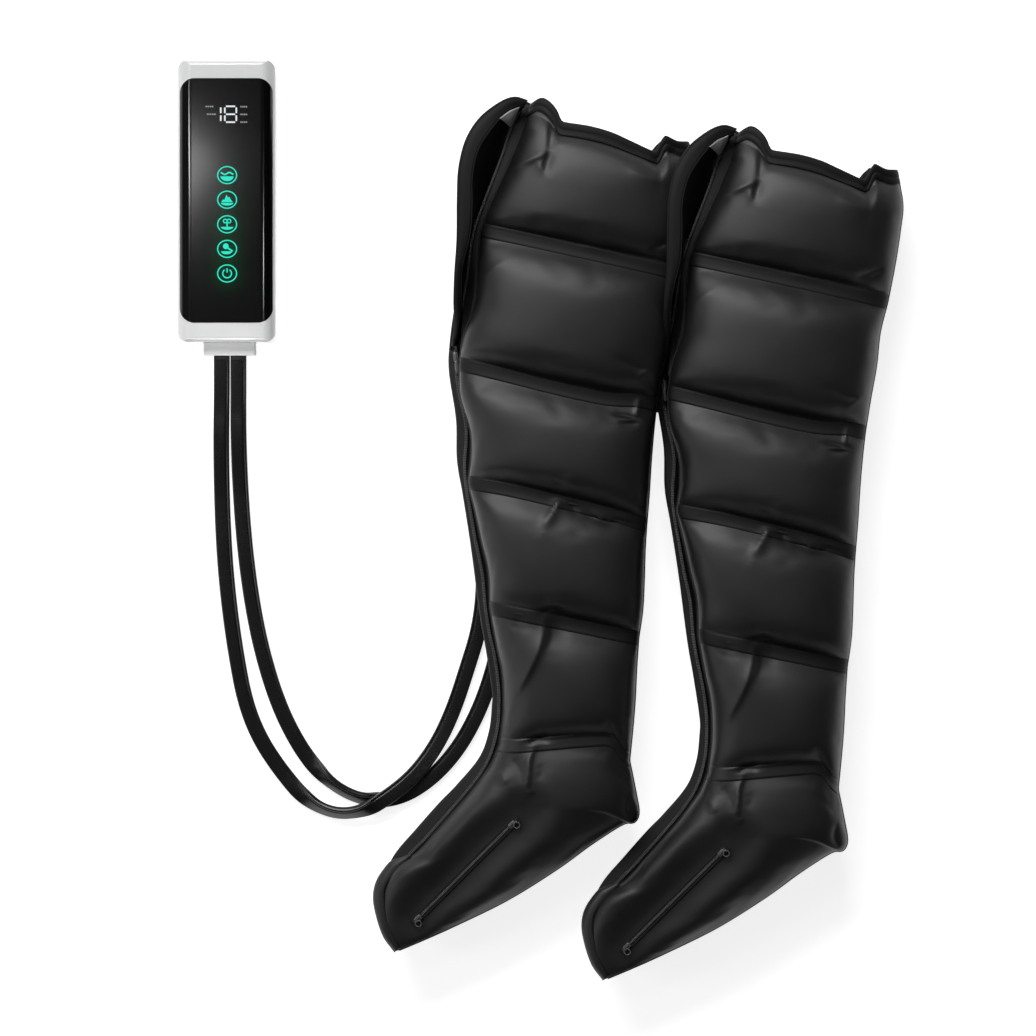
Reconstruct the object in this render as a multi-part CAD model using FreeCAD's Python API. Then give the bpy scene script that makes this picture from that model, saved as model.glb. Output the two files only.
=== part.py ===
"""Compression therapy pump: a handheld air pump, its twin flat hose and two leg boots.

Everything lies on one surface, z = 0. The pump lies on its back, and each boot on its side,
so the zip and toes point to -X and the thigh to +Y. Lengths are in millimetres.
"""
import FreeCAD
import Part
import math
import os

os.makedirs("parts", exist_ok=True)

V = FreeCAD.Vector
X_AXIS = V(1, 0, 0)
Y_AXIS = V(0, 1, 0)
Z_AXIS = V(0, 0, 1)

# ---------------------------------------------------------------- fits
SEAT_GAP = 0.3        # between soft pieces that rest against each other
SLIDE_GAP = 0.3       # round a piece that moves
RUNNING_GAP = 0.05    # shaft in its bearing, on the radius
FIT_GAP = 0.1         # between rigid pieces that are screwed or clipped together
CUT_OVER = 5.0        # how far a cutting tool stands past what it cuts

# ---------------------------------------------------------------- pump housings
PUMP_X = -345.0
PUMP_BOTTOM_Y = 195.3
PUMP_LENGTH = 310.7
PUMP_WIDTH = 107.8
PUMP_TOP_Z = 58.0
PUMP_CORNER_R = 11.0
PUMP_FLANK_R = 16.0         # curved flanks of the front
PUMP_BACK_R = 12.0          # round edge of the back
PUMP_END_R = 6.0            # round edges of the two ends
SPLIT_Z = 31.0              # parting line of the two housings
WALL = 2.4
SHELF_THICK = 2.4           # housing web that carries the glass

FOOT_R = 7.0
FOOT_H = 3.0
FOOT_PROUD = 1.5
FOOT_INSET_X = 24.0
FOOT_INSET_Y = 30.0

GLASS_SIDE_EDGE = 2.7       # white edge left beside the glass
GLASS_LOW_EDGE = 21.3       # white band below the glass
GLASS_HIGH_EDGE = 20.4      # white band above the glass
GLASS_CORNER_R = 16.5
GLASS_THICK = 2.6
GLASS_PROUD = 0.4

# ---------------------------------------------------------------- keys and display
KEY_COUNT = 5
KEY_NAMES = ["power_key", "massage_key_1", "massage_key_2", "massage_key_3", "massage_key_4"]
KEY_X_OFF = 1.3             # keys' line beside the pump's middle
KEY_LOW_SET = 75.4          # from the pump's lower end to the lowest key
KEY_PITCH = 27.05
KEY_HALF_W = 11.35
KEY_HALF_H = 10.0
KEY_TRAVEL = 0.6
KEY_FLANGE_OUT = 1.2
KEY_FLANGE_H = 1.2
KEY_STEM_R = 3.0
KEY_STEM_H = 1.4
KEY_SLACK = 0.15            # left under a key pressed home

DISPLAY_SET = 60.0          # from the pump's upper end to the display's middle
DISPLAY_W = 56.0
DISPLAY_L = 30.0
DISPLAY_WINDOW_EDGE = 3.0

BOARD_T = 1.6
KEY_BOARD_HALF_W = 30.0
KEY_BOARD_PAST_KEY = 14.7   # board below the lowest key's middle
KEY_BOARD_PAST_DISPLAY = 24.0
SWITCH_SIDE = 6.0
SWITCH_H = 1.4
POST_R = 3.0
POST_INSET = 4.0

# ---------------------------------------------------------------- inside the pump
MAIN_BOARD_Z = 24.0
MAIN_BOARD_SIDE = 11.9      # from the pump's side to the board
MAIN_BOARD_SET = 24.0       # from the pump's upper end to the board
BOARD_BATTERY_GAP = 12.8
CHIP_SIDE = 12.0
CHIP_H = 1.8
BUZZER_R = 6.0
BUZZER_H = 7.0

CELL_R = 9.2
CELL_L = 65.0
CELL_PITCH = 19.2
CELL_COUNT = 3
BATTERY_SET = 149.7         # from the pump's lower end to the cells' middle
HOLDER_WALL = 1.6
HOLDER_RIM_Z = 16.0

MOTOR_SIDE = 19.9           # from the pump's side to the motor's axis
MOTOR_SET = 72.7            # from the pump's lower end to the motor's drive end
MOTOR_Z = 20.5
MOTOR_R = 12.0
MOTOR_L = 30.0
SHAFT_R = 1.5
SHAFT_IN = 20.0
SHAFT_OUT = 14.0
CRANK_R = 3.2
CRANK_THROW = 1.2
CRANK_L = 5.0
CRANK_SET_BACK = 6.0        # from the can to the crank

HEAD_W = 30.0
HEAD_L = 22.0
HEAD_H = 26.0
HEAD_BORE_R = 6.0
HEAD_END_WALL = 4.0
HEAD_CAP_R = 9.0            # round covers over the two diaphragms
HEAD_CAP_H = 3.0

MANIFOLD_W = 32.0
MANIFOLD_L = 12.0
MANIFOLD_H = 12.0
MANIFOLD_SET = 50.7         # from the pump's lower end to the manifold
VALVE_COUNT = 3
VALVE_PITCH = 10.4
VALVE_SIDE = 8.6
VALVE_L = 18.0
TUBE_R = 2.5
TUBE_BORE_R = 1.4
RIB_T = 3.0
MOTOR_RIB_OUT = 5.4         # how far the motor ribs reach towards the pump's side

SCREW_R = 1.5
SCREW_HEAD_R = 2.9
SCREW_HEAD_H = 2.0
SCREW_SINK = 2.0
SCREW_L = 32.0
SCREW_BOSS_R = 4.4
SCREW_INSET_X = 8.0
SCREW_INSET_Y = 12.0

CHARGE_W = 9.4
CHARGE_H = 3.6
CHARGE_SHELL = 1.3
CHARGE_L = 12.0
CHARGE_SLOT_L = 7.0
CHARGE_ROUND = 0.45         # share of the slot's height that its round ends take
CHARGE_Z = 21.0

# ---------------------------------------------------------------- hose plug and socket
PORT_X_OFF = 3.1            # hoses' middle beside the pump's middle
PORT_PITCH = 18.4
PORT_Z = 28.0
PLUG_W = 58.3
PLUG_L = 14.2
PLUG_H = 24.0
PLUG_EDGE_R = 3.0
NIPPLE_R = 4.6
NIPPLE_BORE_R = 2.4
NIPPLE_L = 17.0
NIPPLE_GAP = 0.12
SOCKET_W = 50.0
SOCKET_H = 18.0
SOCKET_L = 24.0

# ---------------------------------------------------------------- hoses
HOSE_W = 16.0
HOSE_T = 6.4
HOSE_CHAMFER = 2.0
HOSE_LIE_Z = 3.5            # centre height of a hose on the floor
HOSE_OVER_Z = 10.9          # centre height of the outer hose over the inner one
RUN_SHARE = 0.45            # share of the shorter run that an arc takes

OUTER_HOSE_ROUTE = [
    (-351.1, 181.0, PORT_Z), (-351.1, 138.0, PORT_Z), (-350.2, 86.0, 11.5),
    (-349.5, 30.0, HOSE_LIE_Z), (-346.8, -36.0, HOSE_LIE_Z),
    (-341.5, -94.0, HOSE_LIE_Z), (-333.5, -150.0, HOSE_LIE_Z),
    (-324.0, -200.0, HOSE_LIE_Z), (-308.5, -240.0, HOSE_LIE_Z),
    (-284.0, -277.0, HOSE_LIE_Z), (-257.0, -308.5, 6.5),
    (-226.0, -324.0, HOSE_OVER_Z), (-193.0, -321.0, HOSE_OVER_Z),
    (-163.5, -303.0, HOSE_OVER_Z), (-136.0, -280.0, HOSE_OVER_Z),
    (-112.0, -247.0, 6.5), (-94.0, -208.0, HOSE_LIE_Z), (-80.0, -165.0, HOSE_LIE_Z),
    (-66.0, -120.0, HOSE_LIE_Z), (-60.5, -72.0, HOSE_LIE_Z),
    (-64.0, -22.0, HOSE_LIE_Z), (-72.0, 30.0, HOSE_LIE_Z),
    (-77.5, 82.0, HOSE_LIE_Z), (-79.0, 134.0, HOSE_LIE_Z),
    (-74.0, 186.0, HOSE_LIE_Z), (-62.0, 236.0, HOSE_LIE_Z),
]
INNER_HOSE_ROUTE = [
    (-332.7, 181.0, PORT_Z), (-332.7, 138.0, PORT_Z), (-331.0, 86.0, 11.5),
    (-328.8, 30.0, HOSE_LIE_Z), (-324.2, -30.0, HOSE_LIE_Z),
    (-317.0, -86.0, HOSE_LIE_Z), (-307.0, -138.0, HOSE_LIE_Z),
    (-292.0, -190.0, HOSE_LIE_Z), (-275.0, -230.0, HOSE_LIE_Z),
    (-253.0, -266.0, HOSE_LIE_Z), (-224.0, -295.0, HOSE_LIE_Z),
    (-190.0, -309.5, HOSE_LIE_Z), (-153.0, -306.0, HOSE_LIE_Z),
    (-120.0, -286.0, HOSE_LIE_Z), (-92.0, -256.0, HOSE_LIE_Z),
    (-71.0, -220.0, HOSE_LIE_Z), (-55.0, -180.0, HOSE_LIE_Z),
    (-43.0, -134.0, HOSE_LIE_Z), (-38.0, -84.0, HOSE_LIE_Z),
    (-42.0, -30.0, HOSE_LIE_Z), (-51.0, 26.0, HOSE_LIE_Z),
    (-56.5, 76.0, HOSE_LIE_Z), (-57.5, 110.0, HOSE_LIE_Z),
    (-43.0, 136.3, HOSE_LIE_Z), (-17.0, 151.5, HOSE_LIE_Z),
    (13.0, 151.0, HOSE_LIE_Z), (60.0, 142.0, HOSE_LIE_Z),
    (108.0, 130.5, HOSE_LIE_Z), (155.0, 121.5, HOSE_LIE_Z),
]
INLET_R = 10.0

# ---------------------------------------------------------------- boots
RIGHT_BOOT_SHIFT = (229.0, -31.0, 0.0)
LOWER_TOP_Z = 45.0          # top face of the lower halves
UPPER_SEAT_Z = 69.0         # underside of the upper halves; the leg goes between the two
SKIN_T = 2.4                # fabric walls of the zip band, the flap and the gusset

# One row for each chord across the boot, from thigh to toe: upper half's front point, back
# point, lower half's front point, rise of the upper crown, depth of the lower crown.
SEAM_RISE = 27.0
SEAM_DEPTH = 30.0
THIGH_CHORDS = [
    ((-22.0, 434.0), (166.0, 405.0), (-29.0, 433.0), 25.0, 28.0),
    ((-39.0, 380.0), (169.5, 350.0), (-45.0, 379.0), 48.0, 56.0),
    ((-64.4, 317.4), (153.0, 270.0), (-70.0, 318.5), SEAM_RISE, SEAM_DEPTH),
]
LOW_THIGH_CHORDS = [
    THIGH_CHORDS[-1],
    ((-66.0, 245.0), (141.0, 203.0), (-77.0, 247.0), 50.0, 58.0),
    ((-87.5, 170.4), (128.0, 126.0), (-90.5, 171.0), SEAM_RISE, SEAM_DEPTH),
]
KNEE_CHORDS = [
    LOW_THIGH_CHORDS[-1],
    ((-78.5, 104.0), (122.0, 62.0), (-90.0, 106.5), 47.0, 56.0),
    ((-77.9, 40.2), (118.3, -7.2), (-86.5, 42.3), SEAM_RISE, SEAM_DEPTH),
]
CALF_CHORDS = [
    KNEE_CHORDS[-1],
    ((-66.0, -29.0), (114.5, -68.0), (-76.0, -26.8), 44.0, 50.0),
    ((-55.6, -95.2), (109.5, -130.4), (-63.0, -93.6), 25.0, 28.0),
]
ANKLE_CHORDS = [
    CALF_CHORDS[-1],
    ((-43.5, -174.0), (104.0, -198.0), (-51.0, -172.8), 42.0, 54.0),
    ((-44.6, -247.0), (99.6, -262.4), (-54.0, -246.0), 24.0, 27.0),
]
FOOT_CHORDS = [
    ANKLE_CHORDS[-1],
    ((-62.0, -288.0), (107.0, -321.0), (-70.0, -286.4), 38.0, 52.0),
    ((-93.0, -321.8), (66.6, -350.4), (-98.5, -320.8), 40.0, 53.0),
    ((-122.0, -350.4), (1.0, -399.9), (-128.0, -348.0), 36.0, 50.0),
    ((-150.0, -376.8), (-82.0, -441.7), (-155.0, -372.0), 25.0, 40.0),
    ((-175.0, -407.0), (-156.0, -468.0), (-177.0, -406.4), 10.0, 16.0),
]
CELLS = [
    ("thigh_high_cell", THIGH_CHORDS), ("thigh_low_cell", LOW_THIGH_CHORDS),
    ("knee_cell", KNEE_CHORDS), ("calf_cell", CALF_CHORDS),
    ("ankle_cell", ANKLE_CHORDS), ("foot_cell", FOOT_CHORDS),
]
GUSSET_INSET = 1.5

# Front zip: the chord it starts at, then the coil's place outside the upper half's edge
ZIP_START = ((-85.0, 186.5), (-92.0, 187.5), 5.8)
ZIP_COIL_OUT = [1.7, 4.4, 4.3, 5.0, 3.7, 3.7, 4.7, 4.0, 2.9, 3.1, 3.2, 1.6]
COIL_HALF = 1.6
COIL_H = 3.0
TAPE_T = 2.0
TAPE_UNDER = 1.5            # how far inside the upper edge the near tape stands
TAPE_OVER = 1.0             # how far past the lower edge the far tape reaches
FRONT_SLIDER_Y = 179.0
FRONT_SLIDER_L = 12.0
FRONT_SLIDER_HALF_W = 2.8
FRONT_SLIDER_H = 6.0
FRONT_PULL_L = 12.0
FRONT_PULL_T = 1.2

HEM_T = 4.0
UPPER_HEM = [
    (-22.6, 434.2), (-21.0, 455.0), (-7.0, 463.0), (9.0, 463.0), (27.0, 437.0),
    (68.0, 431.5), (110.0, 418.0), (127.0, 412.5), (143.0, 420.0), (165.5, 416.0),
    (166.4, 405.2),
]
LOWER_HEM = [
    (-29.4, 433.2), (-27.0, 447.0), (30.0, 440.0), (110.0, 426.0), (160.0, 418.0),
    (166.2, 405.2),
]

# Thigh flap, from top to bottom: root on the lower half, outer edge, height of that edge
FLAP_KNEE_Z = 78.0
FLAP_ROWS = [
    ((-29.4, 431.0), (-44.0, 452.0), 88.0), ((-37.0, 405.0), (-66.0, 437.0), 96.0),
    ((-44.0, 381.0), (-80.0, 414.0), 98.0), ((-52.0, 358.0), (-87.5, 384.0), 98.0),
    ((-60.5, 338.0), (-89.6, 351.0), 98.0), ((-69.0, 317.5), (-89.6, 307.0), 98.0),
    ((-75.0, 291.0), (-92.0, 268.0), 98.0), ((-78.0, 250.0), (-95.0, 236.0), 92.0),
    ((-82.5, 215.0), (-96.0, 207.0), 84.0), ((-88.5, 190.0), (-95.0, 189.0), 80.0),
]

TOE_BINDING = [
    (-176.5, -403.5), (-182.0, -407.0), (-183.5, -418.0), (-172.0, -452.0),
    (-159.0, -475.0), (-150.0, -473.0), (-156.6, -468.6), (-175.6, -407.2),
]
TOE_BINDING_T = 5.0

# Straight zip on the side of the foot
FOOT_ZIP_TOP = (-24.0, -327.0, 99.0)
FOOT_ZIP_BOTTOM = (-139.0, -443.0, 78.0)
FOOT_ZIP_HALF_W = 3.5
FOOT_ZIP_T = 1.4
FOOT_ZIP_BEAD_HALF = 1.1
FOOT_ZIP_BEAD_H = 1.0
FOOT_ZIP_TRENCH_HALF = 6.5
FOOT_SLIDER_L = 9.0
FOOT_SLIDER_HALF_W = 3.0
FOOT_SLIDER_H = 2.8
PULL_RING_R = 4.0
PULL_RING_BORE = 2.6
PULL_RING_H = 1.2


def save(name, shape):
    """Write one node's STEP file."""
    shape.exportStep("parts/" + name + ".step")


def block(x0, x1, y0, y1, z0, z1):
    """Box between two corners."""
    return Part.makeBox(x1 - x0, y1 - y0, z1 - z0, V(x0, y0, z0))


def rod(radius, start, axis, length):
    """Round bar from start along axis."""
    return Part.makeCylinder(radius, length, start, axis)


def pipe(radius, bore, start, axis, length):
    """Round bar with a through bore."""
    return rod(radius, start, axis, length).cut(rod(bore, start, axis, length))


def prism(points, z0, height):
    """Polygon in plan, raised from z0."""
    corners = [V(x, y, z0) for x, y in points]
    face = Part.Face(Part.makePolygon(corners + corners[:1]))
    return face.extrude(V(0, 0, height))


def edges_along(shape, axis):
    """Straight edges that run along an axis."""
    found = []
    for edge in shape.Edges:
        if abs(edge.tangentAt(edge.FirstParameter).dot(axis)) > 0.99:
            found.append(edge)
    return found


def rounded_slab(x0, x1, y0, y1, z0, z1, radius, axis=Z_AXIS):
    """Box whose four edges along one axis are rounded."""
    body = block(x0, x1, y0, y1, z0, z1)
    return body.makeFillet(radius, edges_along(body, axis))


# ================================================================ pump
PUMP_TOP_Y = PUMP_BOTTOM_Y + PUMP_LENGTH
PUMP_HALF_W = PUMP_WIDTH / 2
PUMP_FLOOR_Z = FOOT_PROUD + WALL            # inside face of the rear housing
GLASS_HALF_W = PUMP_HALF_W - GLASS_SIDE_EDGE
GLASS_BOTTOM_Y = PUMP_BOTTOM_Y + GLASS_LOW_EDGE
GLASS_TOP_Y = PUMP_TOP_Y - GLASS_HIGH_EDGE
KEY_X = PUMP_X + KEY_X_OFF
KEY_LOW_Y = PUMP_BOTTOM_Y + KEY_LOW_SET
DISPLAY_Y = PUMP_TOP_Y - DISPLAY_SET
KEY_BOARD_LOW_Y = KEY_LOW_Y - KEY_BOARD_PAST_KEY
KEY_BOARD_HIGH_Y = DISPLAY_Y + KEY_BOARD_PAST_DISPLAY
BATTERY_Y = PUMP_BOTTOM_Y + BATTERY_SET
HOLDER_TOP_Y = BATTERY_Y + CELL_L / 2 + FIT_GAP + HOLDER_WALL
MAIN_BOARD_LOW_Y = HOLDER_TOP_Y + BOARD_BATTERY_GAP
MAIN_BOARD_TOP_Y = PUMP_TOP_Y - MAIN_BOARD_SET
MAIN_BOARD_HALF_W = PUMP_HALF_W - MAIN_BOARD_SIDE
MOTOR_X = PUMP_X - PUMP_HALF_W + MOTOR_SIDE
MOTOR_Y = PUMP_BOTTOM_Y + MOTOR_SET
MANIFOLD_Y = PUMP_BOTTOM_Y + MANIFOLD_SET
PORT_X = PUMP_X + PORT_X_OFF
SHELF_INSET = GLASS_THICK - GLASS_PROUD + FIT_GAP + SHELF_THICK
SHELF_Z = PUMP_TOP_Z - SHELF_INSET          # underside of the glass shelf
FLANGE_TOP_Z = SHELF_Z - RUNNING_GAP
STEM_LOW_Z = FLANGE_TOP_Z - KEY_FLANGE_H - KEY_STEM_H
SWITCH_TOP_Z = STEM_LOW_Z - KEY_TRAVEL - KEY_SLACK
KEY_BOARD_TOP_Z = SWITCH_TOP_Z - SWITCH_H
KEY_BOARD_LOW_Z = KEY_BOARD_TOP_Z - BOARD_T
KEY_CENTRES = [(KEY_X, KEY_LOW_Y + KEY_PITCH * i) for i in range(KEY_COUNT)]
SCREW_PLACES = [
    (PUMP_X + side * (PUMP_HALF_W - SCREW_INSET_X), y)
    for side in (-1, 1)
    for y in (PUMP_BOTTOM_Y + SCREW_INSET_Y, PUMP_TOP_Y - SCREW_INSET_Y)
]
FOOT_PLACES = [
    (PUMP_X + side * (PUMP_HALF_W - FOOT_INSET_X), y)
    for side in (-1, 1)
    for y in (PUMP_BOTTOM_Y + FOOT_INSET_Y, PUMP_TOP_Y - FOOT_INSET_Y)
]


def arch(inset):
    """Pump's cross-section carried along Y: flat front with curved flanks, round back edges."""
    x0 = PUMP_X - PUMP_HALF_W + inset
    x1 = PUMP_X + PUMP_HALF_W - inset
    z0 = FOOT_PROUD + inset
    z1 = PUMP_TOP_Z - inset
    body = block(x0, x1, PUMP_BOTTOM_Y + inset, PUMP_TOP_Y - inset, z0, z1)
    front = [edge for edge in edges_along(body, Y_AXIS) if edge.CenterOfMass.z > SPLIT_Z]
    body = body.makeFillet(PUMP_FLANK_R - inset, front)
    back = [edge for edge in edges_along(body, Y_AXIS) if edge.CenterOfMass.z < z0 + FIT_GAP]
    return body.makeFillet(PUMP_BACK_R - inset, back)


def pump_form(inset):
    """Outer form of the pump, shrunk by inset on every side."""
    x0 = PUMP_X - PUMP_HALF_W + inset
    x1 = PUMP_X + PUMP_HALF_W - inset
    y0 = PUMP_BOTTOM_Y + inset
    y1 = PUMP_TOP_Y - inset
    z0 = FOOT_PROUD + inset
    z1 = PUMP_TOP_Z - inset
    plan = rounded_slab(x0, x1, y0, y1, z0, z1, PUMP_CORNER_R - inset)
    side = rounded_slab(x0, x1, y0, y1, z0, z1, PUMP_END_R - inset, X_AXIS)
    return arch(inset).common(plan).common(side)


def glass_plan(grow):
    """Prism over the glass's outline, grown by a clearance."""
    half = GLASS_HALF_W + grow
    return rounded_slab(PUMP_X - half, PUMP_X + half, GLASS_BOTTOM_Y - grow,
                        GLASS_TOP_Y + grow, SPLIT_Z,
                        PUMP_TOP_Z + CUT_OVER, GLASS_CORNER_R + grow)


def key_prism(centre, grow, z0, z1):
    """Upright prism over one key's oval."""
    ring = Part.Ellipse(V(centre[0], centre[1], z0), KEY_HALF_W + grow, KEY_HALF_H + grow)
    return Part.Face(Part.Wire([ring.toShape()])).extrude(V(0, 0, z1 - z0))


def half_space(z0, z1):
    """Box over the whole pump between two heights."""
    return block(PUMP_X - PUMP_WIDTH, PUMP_X + PUMP_WIDTH, PUMP_BOTTOM_Y - PUMP_WIDTH,
                 PUMP_TOP_Y + PUMP_WIDTH, z0, z1)


def socket_block(grow, front_y):
    """Block that holds the two hose sockets, let into both housings' lower end."""
    return rounded_slab(PORT_X - SOCKET_W / 2 - grow, PORT_X + SOCKET_W / 2 + grow,
                        front_y, PUMP_BOTTOM_Y + SOCKET_L + grow,
                        PORT_Z - SOCKET_H / 2 - grow, PORT_Z + SOCKET_H / 2 + grow,
                        PLUG_EDGE_R, Y_AXIS)


def charge_slot(width, height, y0, y1):
    """Flat-sided prism for the charging port, along Y."""
    return rounded_slab(PUMP_X - width / 2, PUMP_X + width / 2, y0, y1,
                        CHARGE_Z - height / 2, CHARGE_Z + height / 2,
                        height * CHARGE_ROUND, Y_AXIS)


def make_front_housing(form, hollow, shelf_form):
    """White front: wall all round, a recessed shelf under the glass, and key openings."""
    shelf_zone = glass_plan(WALL).cut(shelf_form)
    body = form.cut(hollow.cut(shelf_zone))
    recess = glass_plan(FIT_GAP).cut(arch(GLASS_THICK - GLASS_PROUD + FIT_GAP))
    body = body.cut(recess).common(half_space(SPLIT_Z + FIT_GAP, PUMP_TOP_Z + CUT_OVER))
    bosses = []
    for x, y in SCREW_PLACES:
        bosses.append(rod(SCREW_BOSS_R, V(x, y, SPLIT_Z + FIT_GAP), Z_AXIS,
                          PUMP_TOP_Z - SPLIT_Z - FIT_GAP))
    for x in (PUMP_X - KEY_BOARD_HALF_W + POST_INSET, PUMP_X + KEY_BOARD_HALF_W - POST_INSET):
        for y in (KEY_BOARD_LOW_Y + POST_INSET, KEY_BOARD_HIGH_Y - POST_INSET):
            bosses.append(rod(POST_R, V(x, y, KEY_BOARD_TOP_Z), Z_AXIS,
                              SHELF_Z + SHELF_THICK / 2 - KEY_BOARD_TOP_Z))
    inner = pump_form(WALL / 2)
    for boss in bosses:
        body = body.fuse(boss.common(inner))
    for x, y in SCREW_PLACES:
        body = body.cut(rod(SCREW_R + RUNNING_GAP, V(x, y, SPLIT_Z), Z_AXIS,
                            FOOT_PROUD + SCREW_SINK + SCREW_L + SCREW_HEAD_H - SPLIT_Z + WALL))
    for centre in KEY_CENTRES:
        body = body.cut(key_prism(centre, SLIDE_GAP, SHELF_Z - WALL, PUMP_TOP_Z))
    half_w = DISPLAY_W / 2 - DISPLAY_WINDOW_EDGE
    half_l = DISPLAY_L / 2 - DISPLAY_WINDOW_EDGE
    window = block(PUMP_X - half_w, PUMP_X + half_w, DISPLAY_Y - half_l, DISPLAY_Y + half_l,
                   SHELF_Z - WALL, PUMP_TOP_Z)
    pocket = socket_block(FIT_GAP, PUMP_BOTTOM_Y - CUT_OVER)
    return body.cut(window).cut(pocket).removeSplitter()


def make_rear_housing(form, hollow):
    """White back: tray with screw bosses, board posts, motor ribs and recessed feet."""
    body = form.cut(hollow).common(half_space(0, SPLIT_Z - FIT_GAP))
    top = SPLIT_Z - FIT_GAP
    inner = pump_form(WALL / 2)
    for x, y in SCREW_PLACES:
        body = body.fuse(rod(SCREW_BOSS_R, V(x, y, 0), Z_AXIS, top).common(inner))
    post_out = MAIN_BOARD_HALF_W - POST_INSET
    for x in (PUMP_X - post_out, PUMP_X + post_out):
        for y in (MAIN_BOARD_LOW_Y + POST_INSET, MAIN_BOARD_TOP_Y - POST_INSET):
            body = body.fuse(rod(POST_R, V(x, y, PUMP_FLOOR_Z - WALL / 2), Z_AXIS,
                                 MAIN_BOARD_Z - PUMP_FLOOR_Z + WALL / 2))
    floor = PUMP_FLOOR_Z - WALL / 2
    for y in (MOTOR_Y + RIB_T, MOTOR_Y + MOTOR_L - 2 * RIB_T):
        body = body.fuse(block(MOTOR_X - MOTOR_RIB_OUT, MOTOR_X + MOTOR_R, y,
                               y + RIB_T, floor, MOTOR_Z))
    head_y = MOTOR_Y - HEAD_L
    body = body.fuse(block(MOTOR_X - HEAD_W / 4, MOTOR_X + HEAD_W / 4, head_y + RIB_T,
                           head_y + 2 * RIB_T, floor, MOTOR_Z - HEAD_H / 2 - FIT_GAP))
    body = body.fuse(block(PORT_X - MANIFOLD_W / 4, PORT_X + MANIFOLD_W / 4,
                           MANIFOLD_Y + RIB_T, MANIFOLD_Y + 2 * RIB_T, floor,
                           PORT_Z - MANIFOLD_H / 2 - FIT_GAP))
    body = body.cut(rod(MOTOR_R + FIT_GAP, V(MOTOR_X, MOTOR_Y, MOTOR_Z), Y_AXIS, MOTOR_L))
    for x, y in SCREW_PLACES:
        body = body.cut(rod(SCREW_HEAD_R + FIT_GAP, V(x, y, 0), Z_AXIS,
                            FOOT_PROUD + SCREW_SINK + SCREW_HEAD_H))
        body = body.cut(rod(SCREW_R + SLIDE_GAP, V(x, y, 0), Z_AXIS, SPLIT_Z))
    for x, y in FOOT_PLACES:
        body = body.cut(rod(FOOT_R + FIT_GAP, V(x, y, 0), Z_AXIS, FOOT_H))
    slot = charge_slot(CHARGE_W, CHARGE_H, PUMP_TOP_Y - WALL - CUT_OVER, PUMP_TOP_Y + WALL)
    pocket = socket_block(FIT_GAP, PUMP_BOTTOM_Y - CUT_OVER)
    return body.cut(slot).cut(pocket).removeSplitter()


def make_glass():
    """Gloss black cover that wraps over both flanks, with an oval hole for each key."""
    body = glass_plan(0).common(arch(-GLASS_PROUD)).cut(arch(GLASS_THICK - GLASS_PROUD))
    for centre in KEY_CENTRES:
        body = body.cut(key_prism(centre, SLIDE_GAP, SHELF_Z, PUMP_TOP_Z + WALL))
    return body


def make_key(centre):
    """Push key: oval cap flush with the glass, retaining flange and stem."""
    cap = key_prism(centre, 0, FLANGE_TOP_Z - KEY_FLANGE_H / 2, PUMP_TOP_Z + GLASS_PROUD)
    flange = key_prism(centre, KEY_FLANGE_OUT, FLANGE_TOP_Z - KEY_FLANGE_H, FLANGE_TOP_Z)
    stem = rod(KEY_STEM_R, V(centre[0], centre[1], STEM_LOW_Z), Z_AXIS,
               KEY_STEM_H + KEY_FLANGE_H / 2)
    return cap.fuse(flange).fuse(stem).removeSplitter()


def make_key_board():
    """Board under the glass, with a tactile switch below each key."""
    body = block(PUMP_X - KEY_BOARD_HALF_W, PUMP_X + KEY_BOARD_HALF_W, KEY_BOARD_LOW_Y,
                 KEY_BOARD_HIGH_Y, KEY_BOARD_LOW_Z, KEY_BOARD_TOP_Z)
    half = SWITCH_SIDE / 2
    for x, y in KEY_CENTRES:
        body = body.fuse(block(x - half, x + half, y - half, y + half, KEY_BOARD_TOP_Z,
                               SWITCH_TOP_Z))
    return body


def make_display():
    """Two-digit display module on the key board, behind the glass."""
    return block(PUMP_X - DISPLAY_W / 2, PUMP_X + DISPLAY_W / 2, DISPLAY_Y - DISPLAY_L / 2,
                 DISPLAY_Y + DISPLAY_L / 2, KEY_BOARD_TOP_Z, SHELF_Z - FIT_GAP)


def make_main_board():
    """Main board with its controller, driver chips and buzzer."""
    y0 = MAIN_BOARD_LOW_Y
    middle = (MAIN_BOARD_LOW_Y + MAIN_BOARD_TOP_Y) / 2
    top = MAIN_BOARD_Z + BOARD_T
    body = block(PUMP_X - MAIN_BOARD_HALF_W, PUMP_X + MAIN_BOARD_HALF_W, y0,
                 MAIN_BOARD_TOP_Y, MAIN_BOARD_Z, top)
    for step in (-2, 0, 2):
        x = PUMP_X + step * CHIP_SIDE
        body = body.fuse(block(x - CHIP_SIDE / 2, x + CHIP_SIDE / 2, middle,
                               middle + CHIP_SIDE, top, top + CHIP_H))
    return body.fuse(rod(BUZZER_R, V(PUMP_X, y0 + 2 * BUZZER_R, top), Z_AXIS, BUZZER_H))


def battery_centres():
    """X of each battery cell."""
    first = PUMP_X - CELL_PITCH * (CELL_COUNT - 1) / 2
    return [first + CELL_PITCH * i for i in range(CELL_COUNT)]


def make_battery_cells():
    """Round battery cells side by side, each with its end button."""
    axis_z = PUMP_FLOOR_Z + FIT_GAP + HOLDER_WALL + FIT_GAP + CELL_R
    cells = []
    for x in battery_centres():
        can = rod(CELL_R, V(x, BATTERY_Y - CELL_L / 2, axis_z), Y_AXIS, CELL_L)
        cells.append(can)
    return Part.makeCompound(cells)


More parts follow.
